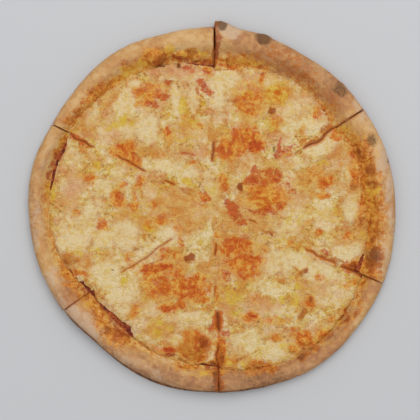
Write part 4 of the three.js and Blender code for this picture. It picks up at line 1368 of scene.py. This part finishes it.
@dataclass(frozen=True)
class SauceFinish:
    """Tomato sauce cooked down to a dark, wet red, orange where oil floats on it, and painted darker
    still as the shade of the trenches where it shows.
    """

    # deep and red are cooked-down sauce darkened further by painted shade
    deep: Color = shade(84, 20, 4)
    red: Color = shade(122, 40, 10)
    oil: Color = shade(182, 92, 30)

    def build(self, effects: BakedEffects) -> bpy.types.Material:
        """Makes the material, with the help of the shared node groups."""
        material, wire = new_material("tomato sauce")
        place = wire.place()
        pulp = wire.noise(place, 2.2 * MM, 4.0, 0.6)
        broad = wire.noise(place, 9 * MM, 2.0, 0.5)
        mix = wire.weigh((pulp, 0.6), (broad, 0.4))
        color = wire.ramp(mix, [(0.2, self.deep), (0.5, self.red), (0.85, self.oil)])
        floating = effects.flecks(wire, place, 3 * MM, 0.3)
        color = wire.coat(color, (floating, 0.5, self.oil))
        wire.dress(color, wire.remap(pulp, 0.1, 0.9, 0.3, 0.55), 0.25)
        wire.bumps(pulp, 0.4 * MM, 0.7)
        return material


@dataclass
class SliceLayer:
    """One layer of the pizza, dressed slice by slice from the frame's solids.

    Attributes:
        plan: The pizza's measures.
        nodes: The frame's nodes.
        finish: The layer's material.
        voxel: Grain of the fine mesh.
        layer: Which layer it is.
        sharp_angle: Edges bent by more than this, in degrees, stay sharp.
    """

    plan: Plan
    nodes: Nodes
    finish: bpy.types.Material
    voxel: float
    layer: Layer = field(init=False)
    sharp_angle: float = field(init=False, default=65.0)

    def fine_copy(self, number: int) -> bpy.types.Object:
        """Copies a solid as one merged, evenly fine mesh.

        Args:
            number: The slice, 1 to 6.

        Returns:
            The new object.
        """
        source = self.nodes[f"{self.layer.value}_{number}"]
        model = bmesh.new()
        model.from_mesh(source.data)
        bmesh.ops.remove_doubles(model, verts=model.verts, dist=0.01 * MM)
        mesh = bpy.data.meshes.new(f"{self.layer.value} of slice {number}")
        model.to_mesh(mesh)
        model.free()
        piece = bpy.data.objects.new(f"baked_{self.layer.value}_{number}", mesh)
        bpy.context.scene.collection.objects.link(piece)
        remesh = piece.modifiers.new("fine", "REMESH")
        remesh.mode = "VOXEL"
        remesh.voxel_size = self.voxel
        remesh.adaptivity = 0.0
        self.settle(piece)
        return piece

    @staticmethod
    def settle(piece: bpy.types.Object) -> None:
        """Applies a piece's modifiers to its mesh."""
        graph = bpy.context.evaluated_depsgraph_get()
        done = bpy.data.meshes.new_from_object(piece.evaluated_get(graph))
        piece.modifiers.clear()
        old = piece.data
        piece.data = done
        bpy.data.meshes.remove(old)

    @staticmethod
    def group_by(piece: bpy.types.Object, name: str, weights: Array) -> str:
        """Makes a vertex group of weights, 0 to 1, in WEIGHT_STEPS steps, and gives its name."""
        group = piece.vertex_groups.new(name=name)
        for step in range(1, WEIGHT_STEPS + 1):
            chosen = np.flatnonzero(np.rint(weights * WEIGHT_STEPS) == step)
            group.add(chosen.tolist(), step / WEIGHT_STEPS, "REPLACE")
        return group.name

    @classmethod
    def thin_out(cls, piece: bpy.types.Object, hidden: Array, kept: float) -> None:
        """Drops faces out of sight, where the next layer or the floor covers them.

        Args:
            piece: The piece.
            hidden: How far each vertex is out of sight, 0 to 1.
            kept: Share of all faces to keep.
        """
        decimate = piece.modifiers.new("thin out", "DECIMATE")
        decimate.ratio = kept
        decimate.vertex_group = cls.group_by(piece, "hidden", hidden)
        decimate.vertex_group_factor = 10.0
        cls.settle(piece)
        piece.vertex_groups.clear()

    def shape(self, points: Array, normals: Array, number: int) -> Array:
        """Moves a fine copy's points into the layer's baked form."""
        raise NotImplementedError

    def finish_mesh(self, piece: bpy.types.Object, number: int) -> None:
        """Trims and thins a shaped piece."""
        raise NotImplementedError

    def paint(self, mesh: bpy.types.Mesh, number: int) -> None:
        """Stores the masks that the layer's finish reads."""
        raise NotImplementedError

    def prepare(self, piece: bpy.types.Object, number: int) -> None:
        """Readies a fine copy for shaping. Most layers need nothing."""

    def build(self) -> list[bpy.types.Object]:
        """Builds, dresses and gives all six of the layer's slices."""
        pieces = []
        for number in range(1, SLICE_COUNT + 1):
            piece = self.fine_copy(number)
            self.prepare(piece, number)
            mesh = piece.data
            points = self.shape(mesh_points(mesh), mesh_normals(mesh), number)
            set_points(mesh, points)
            self.finish_mesh(piece, number)
            self.paint(piece.data, number)
            piece.data.shade_smooth()
            piece.data.set_sharp_from_angle(angle=math.radians(self.sharp_angle))
            piece.data.materials.clear()
            piece.data.materials.append(self.finish)
            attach(piece, BODY)
            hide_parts(f"{self.layer.value}_{number}")
            triangles = sum(len(face.vertices) - 2 for face in piece.data.polygons)
            LOG.info("%s: %d triangles", piece.name, triangles)
            pieces.append(piece)
        return pieces

    @staticmethod
    def draw_together(points: Array, number: int, gap: Callable[[Side, Array, Array], Array]) -> Array:
        """Brings a slice's straight sides towards its neighbours', to the gap that shows.

        Args:
            points: Places (N, 3).
            number: The slice.
            gap: Gives half the gap wanted, for a side, distances from the hub and heights.

        Returns:
            The moved points.
        """
        moved = points.copy()
        for side in slice_sides(number):
            along, aside = side.measure(points)
            near = smooth(aside, 6 * MM, 1 * MM) * smooth(along, -2 * MM, 3 * MM)
            kerf = MM * np.interp(along, [0, RIM_REACH], [KERF_AT_HUB, side.cut.kerf])
            shift = near * (gap(side, along, points[:, 2]) - kerf / 2)
            moved += shift[:, None] * side.inward()
        return moved


def clamp_to_box(points: Array) -> Array:
    """Holds points inside the solids' box."""
    low, high = solids_box()
    return np.clip(points, low, high)


class DoughSlices(SliceLayer):
    """The baked dough: puffed rim with its blisters, and a flat base under the toppings."""

    layer = Layer.DOUGH

    def prepare(self, piece: bpy.types.Object, number: int) -> None:
        """Rounds the rim off, as dough has no flat facets."""
        points = mesh_points(piece.data)
        past_foot = self.plan.past_foot(points)
        rounded = smooth(past_foot, -2 * MM, 3 * MM) * smooth(points[:, 2], 1 * MM, 4 * MM)
        for side in slice_sides(number):
            _, aside = side.measure(points)
            rounded *= 0.25 + 0.75 * smooth(aside, 0.5 * MM, 5 * MM)
        round_off = piece.modifiers.new("round off", "SMOOTH")
        round_off.factor = 0.5
        round_off.iterations = 24
        round_off.vertex_group = self.group_by(piece, "rim", rounded)
        self.settle(piece)
        piece.vertex_groups.clear()

    @staticmethod
    def half_gap(side: Side, along: Array, height: Array) -> Array:
        """The knife's gap through the rim is widest at the top and pressed shut below."""
        return side.cut.rim_gap * MM / 2 * (0.02 + 0.98 * smooth(height, 7 * MM, 15 * MM))

    def shape(self, points: Array, normals: Array, number: int) -> Array:
        """Gives the rim its lumps and blisters and the cut faces their crumb.

        Args:
            points: The fine copy's points.
            normals: Their normals.
            number: The slice.

        Returns:
            The moved points.
        """
        moved = self.draw_together(points, number, self.half_gap)
        radius, bearing = self.plan.polar(points)
        foot = self.plan.at(self.plan.foot, bearing)
        outer = self.plan.at(self.plan.outer, bearing)
        on_rim = smooth(radius, foot - 1 * MM, foot + 4 * MM) * smooth(points[:, 2], 0.6 * MM, 3 * MM)
        lumps = 0.6 * MM * Noise.layered(points, 14 * MM, 11)
        wrinkles = 0.22 * MM * Noise.layered(points, 4.5 * MM, 15)
        grain = 0.10 * MM * Noise.layered(points, 1.9 * MM, 21)
        seen = seen_from_above(points)
        toasted = paint_spots(CRUST_SPOTS[Tint.BROWN], seen, 31)
        burnt = paint_spots(CRUST_SPOTS[Tint.CHAR], seen, 33)
        oily = paint_spots(CRUST_SPOTS[Tint.ORANGE], seen, 35)
        blister = 0.3 * MM * smooth(np.maximum(toasted, burnt), 0.1, 0.8)
        slope = smooth((radius - foot) / (outer - foot), 0.55, 0.1)
        bent = points + 0.8 * MM * Noise.soft(points, 3 * MM, 5)[:, None]
        bubbles = 0.75 - Noise.cells(bent, 4 * MM, 37)
        baked = 0.7 * MM * bubbles * np.maximum(oily, 0.7 * slope)
        folds = paint_spots(CRUST_FOLDS, seen, 39)
        domes = blister_heights(CRUST_DOMES, seen)
        lift = on_rim * (lumps + wrinkles + grain + blister + baked + domes - 1.6 * MM * folds)
        moved += lift[:, None] * normals
        faces = self.cut_face(points, normals, number)
        holes = smooth(Noise.cells(points + 3 * points[:, [2, 2, 2]], 2.6 * MM, 41), 0.42, 0.1)
        moved -= (faces * holes * 0.5 * MM)[:, None] * normals
        moved[:, 2] = np.maximum(moved[:, 2], points[:, 2].min())
        return clamp_to_box(moved)

    def finish_mesh(self, piece: bpy.types.Object, number: int) -> None:
        """Thins the flat bed under the toppings and the underside."""
        points = mesh_points(piece.data)
        covered = smooth(self.plan.past_foot(points), -1 * MM, -5 * MM)
        below = smooth(points[:, 2], 1 * MM, 0.2 * MM)
        self.thin_out(piece, np.maximum(covered, below), 0.42)

    @staticmethod
    def cut_face(points: Array, normals: Array, number: int) -> Array:
        """Says how far each point belongs to a cut face, 0 to 1."""
        total = np.zeros(len(points))
        for side in slice_sides(number):
            _, aside = side.measure(points)
            facing = -(normals @ side.inward())
            total = np.maximum(total, smooth(aside, 2.4 * MM, 1.2 * MM) * smooth(facing, 0.5, 0.9))
        return total

    def paint(self, mesh: bpy.types.Mesh, number: int) -> None:
        """Stores the masks that the crust's finish reads."""
        points, normals = mesh_points(mesh), mesh_normals(mesh)
        seen = seen_from_above(points)
        upper = smooth(points[:, 2] + 2 * MM * Noise.soft(points, 6 * MM, 81), 4.5 * MM, 9.5 * MM)
        for index, tint in enumerate(Tint):
            mask = paint_spots(CRUST_SPOTS[tint], seen, 61 + index)
            if tint in (Tint.PALE, Tint.BROWN, Tint.CHAR):
                mask = mask * (0.15 + 0.85 * upper)
            set_mask(mesh, tint.value, mask)
        radius, bearing = self.plan.polar(points)
        foot = self.plan.at(self.plan.foot, bearing)
        outer = self.plan.at(self.plan.outer, bearing)
        share = (radius - foot) / (outer - foot) + 0.12 * Noise.layered(points, 9 * MM, 71)
        baking = np.interp(bearing, *np.array(SLOPE_BAKING).T)
        set_mask(mesh, "slope", baking * smooth(share, 0.62, 0.1) * smooth(normals[:, 2], -0.2, 0.3))
        set_mask(mesh, "crumb", 0.8 * self.cut_face(points, normals, number))
        set_mask(mesh, "film", 0.9 * smooth(radius - foot, 9 * MM, 2 * MM))
        runs = np.column_stack([np.radians(bearing) * 150 * MM, 0.3 * radius, 0.3 * points[:, 2]])
        set_mask(mesh, "streaks", 0.5 + 0.8 * Noise.layered(runs, 3.2 * MM, 73))
        # Beside each knife's gap on the rim, a dark brown band of painted shade.
        cut = np.zeros(len(points))
        for side in slice_sides(number):
            along, aside = side.measure(points)
            wide = (0.3 + 0.6 * side.cut.lip) * (1 + 0.5 * Noise.soft(points, 6 * MM, 75)) * MM
            lip = smooth(aside, wide, 0.35 * wide) * smooth(along, 100 * MM, 115 * MM)
            strength = (0.5 + 0.1 * side.cut.lip) * (0.8 + 0.4 * Noise.soft(points, 5 * MM, 77))
            cut = np.maximum(cut, strength * lip)
        set_mask(mesh, "cut", np.clip(cut, 0, 1))
        under = smooth(normals[:, 2], -0.35, -0.8)
        thin = 0.5 + 0.5 * Noise.soft(points, 12 * MM, 79)
        # Along the front left the outer edge is darkened too: burnt, and painted shade where the rim
        # meets the floor.
        spread = smooth(outer - radius, (3.0 + 1.6 * thin) * MM, 1.8 * MM)
        spread *= smooth(np.abs(bearing - SCORCHED_SHADED_BEARING), *SCORCHED_SHADED_SPAN)
        set_mask(mesh, "under", np.maximum(under, spread))


@dataclass
class ToppingLayer(SliceLayer):
    """What the sauce and the cheese share: both creep a little way up the rim's slope.

    Attributes:
        ground: The dressed dough's heights.
    """

    ground: HeightField

    stretched = 22 * MM  # width of the outer band that is stretched

    def creep(self, points: Array, edge: Array, reach: Array) -> tuple[Array, Array]:
        """Stretches the outer band outwards, up the slope.

        Args:
            points: Places (N, 3).
            edge: How far the layer reaches at each point's bearing.
            reach: How much further it creeps there.

        Returns:
            The moved points, and how far inside the new edge each one lies.
        """
        radius, _ = self.plan.polar(points)
        share = smooth(radius, edge - self.stretched, edge + 1 * MM)
        new_radius = radius + share * reach
        moved = points.copy()
        middle = np.array(MIDDLE)
        scale = (new_radius / np.maximum(radius, 1e-6))[:, None]
        moved[:, :2] = middle + (points[:, :2] - middle) * scale
        return moved, edge + reach - new_radius


@dataclass
class SauceSlices(ToppingLayer):
    """The sauce: a thin wet spread whose edge shows red where the cheese stops short."""

    layer = Layer.SAUCE
    floor = 4.4 * MM  # the underside of the solids' sauce

    def shape(self, points: Array, normals: Array, number: int) -> Array:
        """Gives the sauce its pulp and a ragged edge on the slope."""
        moved = self.draw_together(points, number, DoughSlices.half_gap)
        _, bearing = self.plan.polar(points)
        ragged = Noise.layered(points * LEVEL, 9 * MM, 81)
        edge = self.plan.at(self.plan.foot, bearing)
        moved, inside = self.creep(moved, edge, (0.2 + 0.6 * ragged) * MM)
        above = (points[:, 2] - self.floor) * (0.4 + 0.6 * smooth(inside, 0, 4 * MM))
        moved[:, 2] = np.maximum(self.floor, self.ground.at(moved) + 0.1 * MM) + above
        top = smooth(normals[:, 2], 0.3, 0.8)
        moved[:, 2] += top * 0.18 * MM * Noise.layered(points, 2.6 * MM, 83)
        return moved

    def finish_mesh(self, piece: bpy.types.Object, number: int) -> None:
        """Thins all but the edge that shows."""
        past_foot = self.plan.past_foot(mesh_points(piece.data))
        self.thin_out(piece, smooth(past_foot, -7 * MM, -11 * MM), 0.3)

    def paint(self, mesh: bpy.types.Mesh, number: int) -> None:
        """The sauce's finish reads no masks."""


@dataclass
class CheeseSlices(ToppingLayer):
    """The melted cheese: curdy, blistered and run together again over most of the cuts.

    Attributes:
        molten: The cheese's heights with the slump at the cuts filled in again.
        solid: The cheese's heights as in the solids.
    """

    molten: HeightField
    solid: HeightField

    layer = Layer.CHEESE
    floor = 5.6 * MM  # the underside of the solids' cheese
    overlap = 0.9 * MM  # how far the sides run past the cuts before they are trimmed
    slump_reach = 7.5 * MM  # how far to each side of a cut the solids' cheese slumps
    slump_start = -4 * MM  # where along the cut that starts, from the hub
    fill_rounds = 500

    @classmethod
    def melt(cls, nodes: Nodes) -> tuple[HeightField, HeightField]:
        """Measures the cheese and fills in the slump that its solids have beside every cut.

        Args:
            nodes: The frame's nodes by name.

        Returns:
            The filled and the plain heights.
        """
        pieces = [nodes[f"cheese_{n}"] for n in range(1, SLICE_COUNT + 1)]
        tree = surface_of(pieces)
        solid, molten = HeightField(tree), HeightField(tree)
        places = solid.spots()
        unknown = np.zeros(len(places), bool)
        for cut in CUTS:
            along, aside = Side(cut, 1).measure(places)
            unknown |= (np.abs(aside) < cls.slump_reach) & (along > cls.slump_start)
        molten.spread(cls.fill_rounds, unknown.reshape(molten.heights.shape))
        molten.soften(4)
        solid.spread(60)
        return molten, solid

    def run_over(self, side: Side, along: Array, height: Array) -> Array:
        """The sides run past the cut, to be trimmed to it."""
        return np.full(len(along), -self.overlap)

    def top(self, points: Array) -> Array:
        """Gives the melted surface's height over points, the same for every slice."""
        flat = points * LEVEL
        height = self.molten.at(points)
        warp = 1.1 * MM * np.column_stack(
            [Noise.layered(flat, 5 * MM, 113), Noise.layered(flat, 5 * MM, 115), 0 * flat[:, 0]]
        )
        curd = 0.7 * MM * (0.6 - Noise.cells(flat + warp, 4.4 * MM, 101))
        grain = 0.16 * MM * Noise.layered(flat, 1.9 * MM, 103)
        swell = 0.5 * MM * Noise.layered(flat, 15 * MM, 104)
        pale = paint_spots(CHEESE_SPOTS[Tint.PALE], flat, 105)
        brown = paint_spots(CHEESE_SPOTS[Tint.BROWN], flat, 107)
        orange = paint_spots(CHEESE_SPOTS[Tint.ORANGE], flat, 109)
        relief = (1 - 0.6 * pale) * (curd * (0.8 + 0.6 * orange) + grain) + swell
        relief += 0.3 * MM * pale + 0.3 * MM * smooth(brown, 0.1, 0.8) - 0.3 * MM * orange
        return height + relief + blister_heights(CHEESE_DOMES, flat)

    def shape(self, points: Array, normals: Array, number: int) -> Array:
        """Melts the slice: fills the slump at closed cuts, opens grooves, and raises curd.

        Args:
            points: The fine copy's points.
            normals: Their normals.
            number: The slice.

        Returns:
            The moved points.
        """
        up = np.clip((points[:, 2] - self.floor) / (self.solid.at(points) - self.floor), 0, 1)
        up = np.maximum(up, smooth(normals[:, 2], 0.35, 0.75))
        moved = self.draw_together(points, number, self.run_over)
        _, bearing = self.plan.polar(points)
        foot = self.plan.at(self.plan.foot, bearing)
        edge = self.plan.at(self.plan.cheese, bearing)
        flat = points * LEVEL
        ragged = Noise.layered(flat, 9 * MM, 111, 2) + 0.6 * Noise.soft(flat, 2.6 * MM, 112)
        reach = MM * np.interp(bearing, *np.array(CHEESE_REACH).T)
        pulled_back = smooth(reach, 0.2 * MM, -0.8 * MM)
        wanted = foot - edge + reach + (1.0 + (1.9 - 1.2 * pulled_back) * ragged) * MM
        moved, inside = self.creep(moved, edge, wanted)
        sunk = smooth(inside, 2.2 * MM, 0.2 * MM) * (1 - pulled_back)
        under = np.maximum(self.floor, self.ground.at(moved) + 0.1 * MM) - 1.1 * MM * sunk
        melted = self.top(moved)
        for side in slice_sides(number):
            along, aside = side.measure(moved)
            width, depth, middle = side.opened(along)
            groove = smooth(np.abs(aside - middle), 0.5 * width + 1.0 * MM, 0.1 * width)
            melted -= groove * depth * 0.7
        feather = (melted - self.floor) * smooth(inside, 0.5 * MM, 8 * MM) * 0.8 + 0.45 * MM
        melted = np.maximum(melted, under + feather)
        edge_drop = smooth(inside, 3.6 * MM, 0.2 * MM)
        thickness = (0.45 + 0.45 * pulled_back) * MM
        melted = melted * (1 - edge_drop) + (under + thickness) * edge_drop
        moved[:, 2] = under + up * (melted - under)
        return moved

    def finish_mesh(self, piece: bpy.types.Object, number: int) -> None:
        """Trims the sides to the cuts' own planes and thins the underside."""
        model = bmesh.new()
        model.from_mesh(piece.data)
        for side in slice_sides(number):
            trimmed = bmesh.ops.bisect_plane(
                model,
                geom=[*model.verts, *model.edges, *model.faces],
                dist=0.0,
                plane_co=Vector((*HUB, 0)),
                plane_no=Vector(-side.inward()),
                clear_outer=True,
            )
            rims = [part for part in trimmed["geom_cut"] if isinstance(part, bmesh.types.BMEdge)]
            filled = bmesh.ops.holes_fill(model, edges=rims, sides=0)
            bmesh.ops.triangulate(model, faces=filled["faces"])
        model.to_mesh(piece.data)
        model.free()
        self.thin_out(piece, smooth(mesh_normals(piece.data)[:, 2], -0.3, -0.8), 0.62)

    def paint(self, mesh: bpy.types.Mesh, number: int) -> None:
        """Stores the masks that the cheese's finish reads."""
        points = mesh_points(mesh)
        flat = points * LEVEL
        for index, tint in enumerate(Tint):
            set_mask(mesh, tint.value, paint_spots(CHEESE_SPOTS[tint], flat, 121 + index))
        set_mask(mesh, "edge", 0.45 * smooth(self.plan.past_foot(points), -7 * MM, 1 * MM))
        groove_sauce_shade = np.zeros(len(points))
        stained = np.zeros(len(points))
        for side in slice_sides(number):
            along, aside = side.measure(points)
            width, depth, middle = side.opened(along)
            away = np.abs(aside - middle)
            shown = smooth(depth, 0.2 * MM, 1.6 * MM)
            # Down each open groove the cheese is painted dark red-brown: sauce showing through, and
            # painted shade.
            dark = smooth(away, 0.5 * width + 0.35 * MM, 0.1 * width) * shown
            groove_sauce_shade = np.maximum(groove_sauce_shade, 0.9 * dark)
            around = smooth(away, width + 2.2 * MM, 0.3 * width) * shown
            stained = np.maximum(stained, around)
        set_mask(mesh, "stained", stained)
        set_mask(mesh, "groove_sauce_shade", groove_sauce_shade)


@dataclass(frozen=True)
class Studio:
    """The plain floor, the soft light and the camera above."""

    view_width: float = 0.3662  # what the camera's frame spans at SEEN_LEVEL
    floor_reach: float = 4.0
    room_light: float = 0.5

    def build(self) -> None:
        """Builds the floor, lights and camera."""
        self._floor()
        self._light("key", (0.3, 0.8, 1.5), 1.2, 15.0)
        self._light("fill", (-0.6, -0.3, 1.6), 1.4, 5.0)
        world = bpy.data.worlds.new("soft room")
        world.use_nodes = True
        background = world.node_tree.nodes["Background"]
        background.inputs["Color"].default_value = (0.98, 0.99, 1.0, 1.0)
        background.inputs["Strength"].default_value = self.room_light
        bpy.context.scene.world = world
        self._camera()
        view = bpy.context.scene.view_settings
        view.view_transform = "Standard"
        view.look = "None"

    def _floor(self) -> None:
        """Builds the pale floor."""
        model = bmesh.new()
        bmesh.ops.create_grid(model, x_segments=1, y_segments=1, size=self.floor_reach)
        mesh = bpy.data.meshes.new("floor")
        model.to_mesh(mesh)
        model.free()
        floor = bpy.data.objects.new("floor", mesh)
        bpy.context.scene.collection.objects.link(floor)
        material, wire = new_material("pale floor")
        wire.dress(shade(197, 198, 200), 0.9, 0.5)
        mesh.materials.append(material)

    @staticmethod
    def _light(name: str, place: tuple[float, float, float], size: float, power: float) -> None:
        """Adds a square area light that faces the pizza."""
        lamp = bpy.data.lights.new(name, "AREA")
        lamp.size = size
        lamp.energy = power
        holder = bpy.data.objects.new(name, lamp)
        holder.location = place
        holder.rotation_euler = Vector(place).to_track_quat("Z", "Y").to_euler()
        bpy.context.scene.collection.objects.link(holder)

    def _camera(self) -> None:
        """Adds the camera, straight above the pizza."""
        lens = bpy.data.cameras.new("camera")
        lens.sensor_fit = "HORIZONTAL"
        lens.angle = 2 * math.atan(self.view_width / 2 / (CAMERA_HEIGHT - SEEN_LEVEL))
        camera = bpy.data.objects.new("camera", lens)
        camera.location = (MIDDLE[0] + CAMERA_SHIFT, MIDDLE[1], CAMERA_HEIGHT)
        bpy.context.scene.collection.objects.link(camera)
        bpy.context.scene.camera = camera


def surface_of(pieces: Sequence[bpy.types.Object]) -> BVHTree:
    """Joins pieces' faces into one tree that rays can be cast at."""
    corners, faces = [], []
    for piece in pieces:
        start = len(corners)
        corners.extend(vertex.co.copy() for vertex in piece.data.vertices)
        faces.extend([start + i for i in face.vertices] for face in piece.data.polygons)
    return BVHTree.FromPolygons(corners, faces)


def main() -> None:
    """Builds the whole pizza in order."""
    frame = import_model()
    nodes = frame["nodes"]
    plan = Plan(nodes)
    effects = BakedEffects()
    coarse = 1.0
    dough = DoughSlices(plan, nodes, CrustFinish().build(effects), 0.8 * MM * coarse)
    crust = dough.build()
    ground = HeightField(surface_of(crust))
    ground.spread(4)
    sauce = SauceSlices(plan, nodes, SauceFinish().build(effects), 0.7 * MM * coarse, ground)
    sauce.build()
    molten, solid = CheeseSlices.melt(nodes)
    finish = CheeseFinish().build(effects)
    cheese = CheeseSlices(plan, nodes, finish, 0.7 * MM * coarse, ground, molten, solid)
    cheese.build()
    Studio().build()


if __name__ == "__main__":
    logging.basicConfig(level=logging.INFO, format="%(message)s")
    main()
